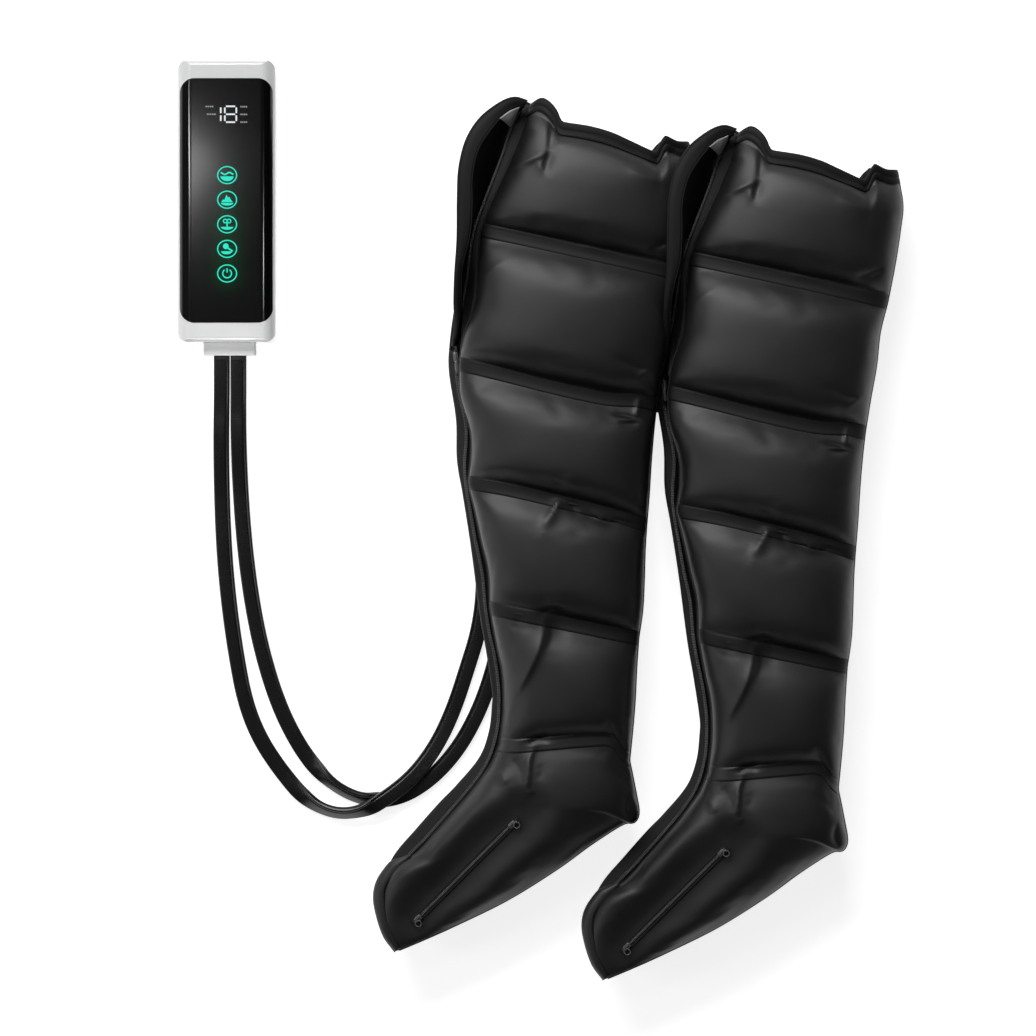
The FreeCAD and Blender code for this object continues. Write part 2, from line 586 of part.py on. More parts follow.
def make_battery_holder():
    """Open tray that holds the battery cells."""
    half_w = CELL_PITCH * (CELL_COUNT - 1) / 2 + CELL_R + FIT_GAP
    half_l = CELL_L / 2 + FIT_GAP
    low = PUMP_FLOOR_Z + FIT_GAP
    outer = block(PUMP_X - half_w - HOLDER_WALL, PUMP_X + half_w + HOLDER_WALL,
                  BATTERY_Y - half_l - HOLDER_WALL, HOLDER_TOP_Y, low, HOLDER_RIM_Z)
    inner = block(PUMP_X - half_w, PUMP_X + half_w, BATTERY_Y - half_l, BATTERY_Y + half_l,
                  low + HOLDER_WALL, HOLDER_RIM_Z + CUT_OVER)
    return outer.cut(inner)


def make_motor_can():
    """Motor can, bored for the rotor's shaft."""
    start = V(MOTOR_X, MOTOR_Y + FIT_GAP, MOTOR_Z)
    can = rod(MOTOR_R, start, Y_AXIS, MOTOR_L - FIT_GAP)
    return can.cut(rod(SHAFT_R + RUNNING_GAP, start, Y_AXIS, SHAFT_IN + SLIDE_GAP))


def make_rotor():
    """Motor shaft with the crank that works the diaphragms."""
    x = MOTOR_X
    shaft = rod(SHAFT_R, V(x, MOTOR_Y - SHAFT_OUT, MOTOR_Z), Y_AXIS, SHAFT_OUT + SHAFT_IN)
    crank_y = MOTOR_Y - CRANK_SET_BACK - CRANK_L
    return shaft.fuse(rod(CRANK_R, V(x, crank_y, MOTOR_Z + CRANK_THROW), Y_AXIS, CRANK_L))


def make_pump_head():
    """Diaphragm pump head with its crank chamber and a round cover each side."""
    x = MOTOR_X
    y0 = MOTOR_Y - HEAD_L
    body = block(x - HEAD_W / 2, x + HEAD_W / 2, y0, MOTOR_Y, MOTOR_Z - HEAD_H / 2,
                 MOTOR_Z + HEAD_H / 2)
    body = body.fuse(rod(HEAD_CAP_R, V(x, y0 + HEAD_L / 2, MOTOR_Z + HEAD_H / 2), Z_AXIS,
                         HEAD_CAP_H))
    return body.cut(rod(HEAD_BORE_R, V(x, y0 + HEAD_END_WALL, MOTOR_Z), Y_AXIS, HEAD_L))


def make_manifold():
    """Block that shares the air between the two hoses."""
    return block(PORT_X - MANIFOLD_W / 2, PORT_X + MANIFOLD_W / 2, MANIFOLD_Y,
                 MANIFOLD_Y + MANIFOLD_L, PORT_Z - MANIFOLD_H / 2, PORT_Z + MANIFOLD_H / 2)


def make_valves():
    """Solenoid valves on the manifold."""
    valves = []
    y0 = MANIFOLD_Y + MANIFOLD_L
    for i in range(VALVE_COUNT):
        x = PORT_X + VALVE_PITCH * (i - (VALVE_COUNT - 1) / 2)
        coil = block(x - VALVE_SIDE / 2, x + VALVE_SIDE / 2, y0, y0 + VALVE_L,
                     PORT_Z - VALVE_SIDE / 2, PORT_Z + VALVE_SIDE / 2)
        valves.append(coil)
    return Part.makeCompound(valves)


def make_air_tubes():
    """Tubes from the manifold to the two sockets, and the nipple from the pump head."""
    tubes = []
    start_y = PUMP_BOTTOM_Y + SOCKET_L
    for side in (-1, 1):
        start = V(PORT_X + side * PORT_PITCH / 2, start_y, PORT_Z)
        tubes.append(pipe(TUBE_R, TUBE_BORE_R, start, Y_AXIS, MANIFOLD_Y - start_y))
    head_side = MOTOR_X + HEAD_W / 2
    start = V(head_side, MANIFOLD_Y + MANIFOLD_L / 2, PORT_Z)
    tubes.append(pipe(TUBE_R, TUBE_BORE_R, start, X_AXIS, PORT_X - MANIFOLD_W / 2 - head_side))
    return Part.makeCompound(tubes)


def make_socket():
    """Socket block with a bore for each nipple and a port behind it."""
    body = socket_block(0, PUMP_BOTTOM_Y + FIT_GAP)
    for side in (-1, 1):
        start = V(PORT_X + side * PORT_PITCH / 2, PUMP_BOTTOM_Y - CUT_OVER, PORT_Z)
        body = body.cut(rod(NIPPLE_R + NIPPLE_GAP, start, Y_AXIS,
                            CUT_OVER + NIPPLE_L + SLIDE_GAP))
        body = body.cut(rod(TUBE_BORE_R, start, Y_AXIS, CUT_OVER + SOCKET_L + CUT_OVER))
    return body


def make_plug():
    """Hose plug: block outside the housing with two hollow nipples."""
    y0 = PUMP_BOTTOM_Y - FIT_GAP - PLUG_L
    body = rounded_slab(PORT_X - PLUG_W / 2, PORT_X + PLUG_W / 2, y0, y0 + PLUG_L,
                        PORT_Z - PLUG_H / 2, PORT_Z + PLUG_H / 2, PLUG_EDGE_R, Y_AXIS)
    for side in (-1, 1):
        start = V(PORT_X + side * PORT_PITCH / 2, y0, PORT_Z)
        body = body.fuse(rod(NIPPLE_R, start, Y_AXIS, PLUG_L + FIT_GAP + NIPPLE_L))
    for side in (-1, 1):
        start = V(PORT_X + side * PORT_PITCH / 2, y0 + PLUG_L / 2, PORT_Z)
        body = body.cut(rod(NIPPLE_BORE_R, start, Y_AXIS, PLUG_L + NIPPLE_L))
    return body


def make_charging_port():
    """Metal-lined slot for the charging lead, in the upper end."""
    y1 = PUMP_TOP_Y - WALL - FIT_GAP
    width = CHARGE_W + 2 * CHARGE_SHELL
    height = CHARGE_H + 2 * CHARGE_SHELL
    shell = charge_slot(width, height, y1 - CHARGE_L, y1)
    return shell.cut(charge_slot(CHARGE_W, CHARGE_H, y1 - CHARGE_SLOT_L, y1 + WALL))


def make_screws():
    """Screws that hold the housings together, sunk in the back."""
    screws = []
    for x, y in SCREW_PLACES:
        z = FOOT_PROUD + SCREW_SINK
        head = rod(SCREW_HEAD_R, V(x, y, z), Z_AXIS, SCREW_HEAD_H)
        screws.append(head.fuse(rod(SCREW_R, V(x, y, z), Z_AXIS, SCREW_HEAD_H + SCREW_L)))
    return Part.makeCompound(screws)


def make_feet():
    """Rubber feet in the back."""
    return Part.makeCompound([rod(FOOT_R, V(x, y, 0), Z_AXIS, FOOT_H) for x, y in FOOT_PLACES])


def build_pump():
    """All the handset's nodes, then the plug on the hoses."""
    form = pump_form(0)
    hollow = pump_form(WALL)
    save("front_housing", make_front_housing(form, hollow, arch(SHELF_INSET)))
    save("rear_housing", make_rear_housing(form, hollow))
    save("front_glass", make_glass())
    for name, centre in zip(KEY_NAMES, KEY_CENTRES):
        save(name, make_key(centre))
    save("key_board", make_key_board())
    save("display_module", make_display())
    save("main_board", make_main_board())
    save("battery_cells", make_battery_cells())
    save("battery_holder", make_battery_holder())
    save("motor_can", make_motor_can())
    save("motor_rotor", make_rotor())
    save("pump_head", make_pump_head())
    save("valve_manifold", make_manifold())
    save("solenoid_valves", make_valves())
    save("air_tubes", make_air_tubes())
    save("hose_socket", make_socket())
    save("charging_port", make_charging_port())
    save("housing_screws", make_screws())
    save("rubber_feet", make_feet())
    save("hose_plug", make_plug())


# ================================================================ hoses
def hose_path(name, route):
    """Straight runs joined by tangent arcs, as a wire. Prints each arc's radius."""
    points = [V(*p) for p in route]
    edges = []
    radii = []
    last = points[0]
    for before, corner, after in zip(points, points[1:], points[2:]):
        to_before = before - corner
        to_after = after - corner
        take = RUN_SHARE * min(to_before.Length, to_after.Length)
        into = V(to_before).normalize()
        out = V(to_after).normalize()
        half_turn = (math.pi - into.getAngle(out)) / 2
        radius = take / math.tan(half_turn)
        radii.append(round(radius))
        start = corner + into * take
        end = corner + out * take
        bisector = (into + out).normalize()
        middle = corner + bisector * radius * (1 / math.cos(half_turn) - 1)
        edges.append(Part.LineSegment(last, start).toShape())
        edges.append(Part.Arc(start, middle, end).toShape())
        last = end
    edges.append(Part.LineSegment(last, points[-1]).toShape())
    wire = Part.Wire(edges)
    print(name, "length", round(wire.Length), "radii", radii)
    return wire


def make_hose(name, route):
    """Flat hose with round edges, carried along its path without twist."""
    wire = hose_path(name, route)
    start = V(*route[0])
    half_w = HOSE_W / 2
    half_t = HOSE_T / 2
    flat = half_w - HOSE_CHAMFER
    edge = half_t - HOSE_CHAMFER
    corners = [(half_w, -edge), (half_w, edge), (flat, half_t), (-flat, half_t),
               (-half_w, edge), (-half_w, -edge), (-flat, -half_t), (flat, -half_t)]
    ring = [V(x, y, 0) for x, y in corners]
    outline = Part.makePolygon(ring + ring[:1])
    ahead = V(*route[1]) - start
    up = Z_AXIS
    side = up.cross(ahead).normalize()
    above = ahead.cross(side).normalize()
    outline.Placement = FreeCAD.Placement(start, FreeCAD.Rotation(side, above, ahead, "ZYX"))
    sweep = Part.BRepOffsetAPI.MakePipeShell(wire)
    sweep.setBiNormalMode(up)
    sweep.add(outline)
    sweep.build()
    sweep.makeSolid()
    hose = sweep.shape()
    area = Part.Face(outline).Area
    print(name, "volume", round(hose.Volume), "section times length",
          round(area * wire.Length), "valid", hose.isValid())
    return hose


def make_inlet(route, lower_half):
    """Air inlet: round valve body on the hose's end, up to the half it feeds."""
    end = V(*route[-1])
    ahead = (end - V(*route[-2])).normalize()
    centre = end + ahead * INLET_R
    body = rod(INLET_R, V(centre.x, centre.y, SEAT_GAP), Z_AXIS, LOWER_TOP_Z)
    face = block(-2 * INLET_R, 0, -2 * INLET_R, 2 * INLET_R, 0, 2 * LOWER_TOP_Z)
    turn = math.degrees(math.atan2(ahead.y, ahead.x))
    face.Placement = FreeCAD.Placement(V(end.x, end.y, 0), FreeCAD.Rotation(Z_AXIS, turn))
    seat = lower_half.copy()
    seat.translate(V(0, 0, -SEAT_GAP))
    pieces = body.cut(face).cut(seat).Solids
    return min(pieces, key=lambda piece: piece.CenterOfMass.z)


# ================================================================ boots
def chord_section(front, back, seat_z, crown):
    """Wire over one chord: straight seat and a round crown above (or below) it."""
    start = V(front[0], front[1], seat_z)
    end = V(back[0], back[1], seat_z)
    top = (start + end) * 0.5 + V(0, 0, crown)
    return Part.Wire([Part.Arc(start, top, end).toShape(), Part.LineSegment(end, start).toShape()])


def make_cell(chords):
    """One air cell: the half over the leg and the half under it, flat where it lies."""
    uppers = []
    lowers = []
    for front, back, low_front, rise, depth in chords:
        uppers.append(chord_section(front, back, UPPER_SEAT_Z, rise))
        lowers.append(chord_section(low_front, back, LOWER_TOP_Z, -depth))
    upper = Part.makeLoft(uppers, True, False)
    lower = Part.makeLoft(lowers, True, False)
    reach = 2 * RIGHT_BOOT_SHIFT[0]
    floor = block(-reach, reach, -2 * reach, 2 * reach, -2 * SEAM_DEPTH, 0)
    return upper, lower.cut(floor)


def plan_unit(start, end):
    """Direction in plan from one point to another."""
    return V(end[0] - start[0], end[1] - start[1], 0).normalize()


def all_chords():
    """Every chord from thigh to toe, each once."""
    rows = list(THIGH_CHORDS)
    for name, chords in CELLS[1:]:
        rows += chords[1:]
    return rows


def make_gusset():
    """Back strip between the two halves, along the calf, heel and sole."""
    backs = [V(row[1][0], row[1][1], 0) for row in all_chords()]
    outer = []
    inner = []
    for i, point in enumerate(backs):
        along = backs[min(i + 1, len(backs) - 1)] - backs[max(i - 1, 0)]
        inward = V(along.y, -along.x, 0).normalize()
        outer.append(point + inward * GUSSET_INSET)
        inner.append(point + inward * (GUSSET_INSET + SKIN_T))
    ring = [(p.x, p.y) for p in outer + inner[::-1]]
    low = LOWER_TOP_Z + SEAT_GAP
    return prism(ring, low, UPPER_SEAT_Z - SEAT_GAP - low)


def zip_rows():
    """Front edge, outward direction, reach of the lower edge and coil place, top to toe."""
    rows = [ZIP_START[:2]] + [(row[0], row[2]) for row in all_chords()[4:]]
    offsets = [ZIP_START[2]] + ZIP_COIL_OUT
    result = []
    for (front, low_front), coil in zip(rows, offsets):
        out = plan_unit(front, low_front)
        reach = V(low_front[0] - front[0], low_front[1] - front[1], 0).Length
        result.append((V(front[0], front[1], 0), out, reach, coil))
    return result


def make_front_zip():
    """Closed front zip: near tape, far tape on the lower half, and the coil between."""
    base = LOWER_TOP_Z + SEAT_GAP
    top = UPPER_SEAT_Z - SEAT_GAP
    sections = []
    for front, out, reach, coil in zip_rows():
        far = reach + TAPE_OVER
        profile = [
            (-TAPE_UNDER - SKIN_T, base), (far, base), (far, base + TAPE_T),
            (coil + COIL_HALF, base + TAPE_T), (coil + COIL_HALF, base + TAPE_T + COIL_H),
            (coil - COIL_HALF, base + TAPE_T + COIL_H), (coil - COIL_HALF, base + TAPE_T),
            (-TAPE_UNDER, base + TAPE_T), (-TAPE_UNDER, top), (-TAPE_UNDER - SKIN_T, top),
        ]
        corners = [front + out * s + V(0, 0, z) for s, z in profile]
        sections.append(Part.makePolygon(corners + corners[:1]))
    return Part.makeLoft(sections, True, True)


def front_slider_line():
    """Start of the front slider's straight travel and its direction."""
    rows = zip_rows()
    points = [front + out * coil for front, out, reach, coil in rows[1:3]]
    ahead = (points[1] - points[0]).normalize()
    start = points[0] + ahead * ((FRONT_SLIDER_Y - points[0].y) / ahead.y)
    return start, ahead


def make_front_slider():
    """Slider that straddles the coil, with its pull lying along the zip."""
    base = LOWER_TOP_Z + SEAT_GAP + TAPE_T + SLIDE_GAP
    half = FRONT_SLIDER_L / 2
    body = block(-half, half, -FRONT_SLIDER_HALF_W, FRONT_SLIDER_HALF_W, 0, FRONT_SLIDER_H)
    groove = COIL_HALF + SLIDE_GAP
    body = body.cut(block(-FRONT_SLIDER_L, FRONT_SLIDER_L, -groove, groove, -CUT_OVER, COIL_H))
    pull = block(0, half + FRONT_PULL_L, -groove, groove, FRONT_SLIDER_H - FRONT_PULL_T / 2,
                 FRONT_SLIDER_H + FRONT_PULL_T)
    body = body.fuse(pull)
    start, ahead = front_slider_line()
    side = Z_AXIS.cross(ahead)
    body.Placement = FreeCAD.Placement(start + V(0, 0, base),
                                       FreeCAD.Rotation(ahead, side, Z_AXIS, "ZXY"))
    return body


def make_flap():
    """Thigh flap of the far side: stands up from the lower half, then leans outwards."""
    sections = []
    for root, edge, edge_z in FLAP_ROWS:
        foot = V(root[0], root[1], LOWER_TOP_Z + SEAT_GAP)
        lip = V(edge[0], edge[1], edge_z)
        inward = plan_unit(edge, root)
        outer = [foot, V(foot.x, foot.y, FLAP_KNEE_Z), lip]
        inner = [lip + V(0, 0, SKIN_T), V(foot.x, foot.y, FLAP_KNEE_Z + SKIN_T) + inward * SKIN_T,
                 foot + inward * SKIN_T]
        ring = outer + inner
        sections.append(Part.makePolygon(ring + ring[:1]))
    return Part.makeLoft(sections, True, True)


def zip_frame():
    """Placement of the foot zip: x along it from the heel end, z off the boot."""
    start = V(*FOOT_ZIP_TOP)
    along = V(*FOOT_ZIP_BOTTOM) - start
    ahead = V(along).normalize()
    side = Z_AXIS.cross(ahead).normalize()
    above = ahead.cross(side)
    return FreeCAD.Placement(start, FreeCAD.Rotation(ahead, side, above, "XYZ")), along.Length


def make_foot_zip():
    """Straight zip let into the side of the foot: tape with a raised coil."""
    place, length = zip_frame()
    tape = block(0, length, -FOOT_ZIP_HALF_W, FOOT_ZIP_HALF_W, SEAT_GAP, SEAT_GAP + FOOT_ZIP_T)
    top = SEAT_GAP + FOOT_ZIP_T
    bead = block(0, length, -FOOT_ZIP_BEAD_HALF, FOOT_ZIP_BEAD_HALF, top, top + FOOT_ZIP_BEAD_H)
    body = tape.fuse(bead)
    body.Placement = place
    return body


def make_foot_trench():
    """Space over the foot zip, cut from the foot cell."""
    place, length = zip_frame()
    body = block(-CUT_OVER, length + CUT_OVER, -FOOT_ZIP_TRENCH_HALF, FOOT_ZIP_TRENCH_HALF,
                 0, UPPER_SEAT_Z)
    body.Placement = place
    return body


def make_foot_slider(from_toe):
    """Slider and ring pull at one end of the foot zip."""
    place, length = zip_frame()
    base = SEAT_GAP + FOOT_ZIP_T + SLIDE_GAP
    half = FOOT_SLIDER_L / 2
    body = block(-half, half, -FOOT_SLIDER_HALF_W, FOOT_SLIDER_HALF_W, 0, FOOT_SLIDER_H)
    groove = FOOT_ZIP_BEAD_HALF + SLIDE_GAP
    body = body.cut(block(-FOOT_SLIDER_L, FOOT_SLIDER_L, -groove, groove, -CUT_OVER,
                          FOOT_ZIP_BEAD_H))
    ring = pipe(PULL_RING_R, PULL_RING_BORE, V(half, 0, FOOT_SLIDER_H - PULL_RING_H / 2),
                Z_AXIS, PULL_RING_H)
    body = body.fuse(ring)
    if from_toe:
        body.rotate(V(0, 0, 0), Z_AXIS, 180)
        centre = V(length - half - PULL_RING_R, 0, base)
    else:
        centre = V(half + PULL_RING_R, 0, base)
    body.rotate(V(0, 0, 0), Z_AXIS, 180)
    body.translate(centre)
    body.Placement = place.multiply(body.Placement)
    return body


def save_pair(name, shape):
    """Write a boot piece for the left boot and, moved across, for the right one."""
    save("left_" + name, shape)
    other = shape.copy()
    other.translate(V(*RIGHT_BOOT_SHIFT))
    save("right_" + name, other)


def build_boots():
    """Both boots' nodes."""
    for name, chords in CELLS:
        upper, lower = make_cell(chords)
        if name == "foot_cell":
            upper = upper.cut(make_foot_trench())
        save_pair(name, Part.makeCompound([upper, lower]))
    save_pair("back_gusset", make_gusset())
    save_pair("front_zip", make_front_zip())
    save_pair("front_slider", make_front_slider())
    upper_hem = prism(UPPER_HEM, UPPER_SEAT_Z, HEM_T)
    lower_hem = prism(LOWER_HEM, LOWER_TOP_Z - HEM_T, HEM_T)
    save_pair("thigh_hem", Part.makeCompound([upper_hem, lower_hem]))
    save_pair("thigh_flap", make_flap())
    save_pair("toe_binding", prism(TOE_BINDING, UPPER_SEAT_Z - TOE_BINDING_T / 2, TOE_BINDING_T))
    save_pair("foot_zip", make_foot_zip())
    save_pair("heel_end_slider", make_foot_slider(False))
    save_pair("toe_end_slider", make_foot_slider(True))


def build_hoses():
    """The two hoses and the inlets at their ends."""
    save("outer_hose", make_hose("outer_hose", OUTER_HOSE_ROUTE))
    save("inner_hose", make_hose("inner_hose", INNER_HOSE_ROUTE))
    save("left_air_inlet", make_inlet(OUTER_HOSE_ROUTE, make_cell(LOW_THIGH_CHORDS)[1]))
    right_knee = make_cell(KNEE_CHORDS)[1]
    right_knee.translate(V(*RIGHT_BOOT_SHIFT))
    save("right_air_inlet", make_inlet(INNER_HOSE_ROUTE, right_knee))


build_pump()
build_boots()
build_hoses()
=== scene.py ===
"""Looks of a leg compression set: handset, flat air hoses and two inflated boots.

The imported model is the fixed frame. New pieces are grid surfaces worked out with numpy in
millimetres, in the frame's own axes, and stand where the frame's nodes stand.
"""
import math

import bpy
import numpy as np
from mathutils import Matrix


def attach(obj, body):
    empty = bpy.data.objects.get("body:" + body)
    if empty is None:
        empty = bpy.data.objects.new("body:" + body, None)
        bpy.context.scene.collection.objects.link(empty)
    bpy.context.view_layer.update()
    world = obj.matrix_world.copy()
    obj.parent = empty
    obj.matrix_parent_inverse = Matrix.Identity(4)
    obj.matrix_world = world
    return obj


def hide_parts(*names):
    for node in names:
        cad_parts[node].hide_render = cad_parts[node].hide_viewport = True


bl_info = {
    "name": "Compression Boots Dresser",
    "version": (1, 0, 0),
    "blender": (4, 5, 0),
    "location": "View3D > Sidebar > Boots",
    "description": "Dresses a leg compression set around its packed model",
    "category": "Object",
}

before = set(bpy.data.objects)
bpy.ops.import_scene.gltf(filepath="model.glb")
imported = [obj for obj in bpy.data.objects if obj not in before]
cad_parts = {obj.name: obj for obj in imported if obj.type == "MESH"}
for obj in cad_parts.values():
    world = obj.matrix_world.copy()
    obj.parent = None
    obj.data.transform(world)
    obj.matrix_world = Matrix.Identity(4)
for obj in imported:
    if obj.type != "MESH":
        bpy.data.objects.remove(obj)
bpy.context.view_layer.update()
MM = 0.001
SIDES = {"left_": (0.0, 0.0, 0.0), "right_": (229.0, -31.0, 0.0)}
UP = (0.0, 0.0, 1.0)
PLAN = (1, 1, 0)  # times this, a point keeps its plan and drops to the floor


# ------------------------------------------------------------------ curves and grids
TENSION = 0.5
STEPS_BETWEEN = 16  # samples between two of a line's points
BEAD_SIDES = 6


def smooth_line(points, count):
    """Rounded line through points: Catmull-Rom, sampled at equal steps of length."""
    knots = np.asarray(points, float)
    ends = np.vstack([2 * knots[0] - knots[1], knots, 2 * knots[-1] - knots[-2]])
    p0, p1, p2, p3 = ends[:-3], ends[1:-2], ends[2:-1], ends[3:]
    t = (np.arange(STEPS_BETWEEN) / STEPS_BETWEEN)[:, None, None]
    m1 = TENSION * (p2 - p0)
    m2 = TENSION * (p3 - p1)
    fine = ((2 * t**3 - 3 * t**2 + 1) * p1 + (t**3 - 2 * t**2 + t) * m1
            + (3 * t**2 - 2 * t**3) * p2 + (t**3 - t**2) * m2)
    fine = np.vstack([fine.transpose(1, 0, 2).reshape(-1, knots.shape[1]), knots[-1:]])
    return even_line(fine, count)


def run_along(points):
    """Length run so far at each point of a line, or down each column of a grid."""
    steps = np.linalg.norm(np.diff(points, axis=0), axis=-1)
    return np.concatenate([np.zeros((1, *steps.shape[1:])), np.cumsum(steps, axis=0)])


def read_at(places, stations, line):
    """A line's points, known at stations, read at other places between them."""
    return np.stack([np.interp(places, stations, column) for column in line.T], 1)


def even_line(points, count):
    """The same line sampled at count equal steps of its length."""
    points = np.asarray(points, float)
    run = run_along(points)
    return read_at(np.linspace(0, run[-1], count), run, points)


def nearest(line, points):
    """For each of some points, which of the line's own points is nearest."""
    return [np.linalg.norm(line - point, axis=1).argmin() for point in points]


def line_length(points):
    """Length of a line of points."""
    return float(np.linalg.norm(np.diff(points, axis=0), axis=1).sum())


def unit(vectors):
    """Vectors of length one."""
    return vectors / np.maximum(np.linalg.norm(vectors, axis=-1, keepdims=True), 1e-12)


def ramp(x, low, high):
    """Smooth step from 0 at low to 1 at high."""
    t = np.clip((x - low) / (high - low), 0, 1)
    return t * t * (3 - 2 * t)


def line_distance(plan, line):
    """Each plan point's distance to a line, how far along it that is, 0 to 1, and its side.

    The side is 1 to the left of the line's direction and -1 to its right.
    """
    line = np.asarray(line, float)
    start = line[:-1]
    step = np.diff(line, axis=0)
    length = np.linalg.norm(step, axis=1)
    along = np.einsum("nk,mk->nm", plan, step) - (start * step).sum(1)
    part = np.clip(along / length**2, 0, 1)
    foot = start + part[..., None] * step
    gap = np.linalg.norm(plan[:, None] - foot, axis=2)
    best = gap.argmin(1)
    row = np.arange(len(plan))
    run = run_along(line)
    far = (run[best] + part[row, best] * length[best]) / run[-1]
    side = np.sign(step[best, 0] * (plan[:, 1] - start[best, 1])
                   - step[best, 1] * (plan[:, 0] - start[best, 0]))
    return gap[row, best], far, side


def grid_quads(rows, cols, wrap_rows=False, wrap_cols=False):
    """Quads of a rows by cols grid of points, closed on itself where asked."""
    i = np.arange(rows if wrap_rows else rows - 1)[:, None]
    j = np.arange(cols if wrap_cols else cols - 1)[None, :]
    i1 = (i + 1) % rows
    j1 = (j + 1) % cols
    quads = np.stack([i * cols + j, i * cols + j1, i1 * cols + j1, i1 * cols + j], -1)
    return quads.reshape(-1, 4)


def tube_faces(rows, cols):
    """Faces of a tube of rings, with a flat face at both ends."""
    ends = [list(range(cols))[::-1], [(rows - 1) * cols + k for k in range(cols)]]
    return grid_quads(rows, cols, False, True).tolist() + ends


def add_piece(name, shape, material, body, replaces=(), smooth=True):
    """Object from points in millimetres and lists of faces, dressed and riding on a body."""
    points, faces = shape
    mesh = bpy.data.meshes.new(name)
    mesh.from_pydata((np.asarray(points) * MM).tolist(), [], [list(map(int, f)) for f in faces])
    mesh.update()
    if smooth:
        mesh.polygons.foreach_set("use_smooth", np.ones(len(mesh.polygons), bool))
    piece = bpy.data.objects.new(name, mesh)
    bpy.context.scene.collection.objects.link(piece)
    mesh.materials.append(material)
    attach(piece, body)
    if replaces:
        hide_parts(*replaces)
    return piece


def join_grids(parts):
    """Several (points, faces) lists as one."""
    points = []
    faces = []
    start = 0
    for part_points, part_faces in parts:
        points.append(np.asarray(part_points).reshape(-1, 3))
        faces += [[start + int(k) for k in face] for face in part_faces]
        start += len(points[-1])
    return np.vstack(points), faces


def path_frames(path, up, closed=False):
    """Side and up directions along a path, square to it."""
    if closed:
        ahead = unit(np.roll(path, -1, 0) - np.roll(path, 1, 0))
    else:
        ahead = unit(np.gradient(path, axis=0))
    up = np.broadcast_to(np.asarray(up, float), path.shape)
    side = unit(np.cross(ahead, up))
    return side, np.cross(side, ahead)


def sweep(path, section, up=UP, closed=False):
    """Closed section (across, above) carried along a path, with capped ends.

    Each ring is the path's point plus across times the side direction plus above times the
    up direction.
    """
    path = np.asarray(path, float)
    side, above = path_frames(path, up, closed)
    section = np.asarray(section, float)
    rings = path[:, None] + side[:, None] * section[:, :1] + above[:, None] * section[:, 1:]
    rows, cols = rings.shape[:2]
    faces = grid_quads(rows, cols, True, True).tolist() if closed else tube_faces(rows, cols)
    return rings.reshape(-1, 3), faces


def oval(half_w, half_h, count, power=2.0):
    """Ring of an oval, or of a rounded box when power is above 2, anticlockwise."""
    turn = 2 * np.pi * np.arange(count) / count
    c, s = np.cos(turn), np.sin(turn)
    return np.stack([half_w * np.sign(c) * np.abs(c) ** (2 / power),
                     half_h * np.sign(s) * np.abs(s) ** (2 / power)], 1)


def strip_section(width, thick, count):
    """Ring of a flat band of cloth: flat faces with round edges."""
    half = width / 2 - thick / 2
    turn = np.pi * np.linspace(-0.5, 0.5, count // 2)
    right = np.stack([half + thick / 2 * np.cos(turn), thick / 2 * np.sin(turn)], 1)
    return np.vstack([right, -right])


def beads(centres, axis, across, above, length, radius, tip):
    """Small six-sided beads, each long one way and tapered to tip times its radius.

    A bead is four rings at its centre plus shares of its length along the axis; each ring
    is a hexagon in the other two directions.
    """
    spin = oval(radius, radius, BEAD_SIDES)
    stations = np.array([[-0.5, tip], [-0.3, 1.0], [0.3, 1.0], [0.5, tip]])
    reach = (stations[:, 0] * length)[None, :, None, None]
    wide = (stations[:, 1, None] * spin[:, 0])[None, ..., None]
    tall = (stations[:, 1, None] * spin[:, 1])[None, ..., None]
    centres, axis, across, above = [np.broadcast_to(rows, centres.shape)[:, None, None]
                                    for rows in (centres, axis, across, above)]
    rings = centres + axis * reach + across * wide + above * tall
    size = len(stations) * BEAD_SIDES
    starts = (np.arange(len(centres)) * size)[:, None, None]
    block = grid_quads(len(stations), BEAD_SIDES, False, True)
    caps = np.array([np.arange(BEAD_SIDES)[::-1], np.arange(size - BEAD_SIDES, size)])
    faces = (starts + block[None]).reshape(-1, 4).tolist()
    faces += (starts + caps[None]).reshape(-1, BEAD_SIDES).tolist()
    return rings.reshape(-1, 3), faces


def stitch_row(path, up, pitch, length, radius):
    """Row of short round stitches along a path, up being the way they face."""
    count = max(2, int(line_length(path) / pitch))
    fine = even_line(path, count * 4)
    ahead = unit(np.gradient(fine, axis=0))[::4]
    return beads(fine[::4], ahead, np.cross(ahead, up), up, length, radius, 0.25)


def beads_across(path, up, pitch, length, radius):
    """Row of coil turns: small beads laid across a path."""
    fine = even_line(path, max(2, int(line_length(path) / pitch)))
    side, above = path_frames(fine, up)
    return beads(fine, side, np.cross(above, side), above, length, radius, 0.35)


# ------------------------------------------------------------------ shaders
class Wire:
    """An output socket, so that shader maths reads as plain expressions."""

    def __init__(self, shade, socket):
        self.shade = shade
        self.socket = socket

    def math(self, operation, *others):
        sockets = {0: self}
        for place, other in enumerate(others, 1):
            sockets[place] = other
        return self.shade.node("ShaderNodeMath", {"operation": operation}, sockets)

    def __add__(self, other):
        return self.math("ADD", other)

    __radd__ = __add__

    def __sub__(self, other):
        return self.math("SUBTRACT", other)

    def __rsub__(self, other):
        return (self * -1.0).math("ADD", other)

    def __mul__(self, other):
        return self.math("MULTIPLY", other)

    __rmul__ = __mul__

    def __truediv__(self, other):
        return self.math("DIVIDE", other)

    def over(self, low, high):
        """0 below low, 1 above high, smooth between."""
        sockets = {"Value": self, "From Min": low, "From Max": high}
        settings = {"interpolation_type": "SMOOTHSTEP", "clamp": True}
        return self.shade.node("ShaderNodeMapRange", settings, sockets)


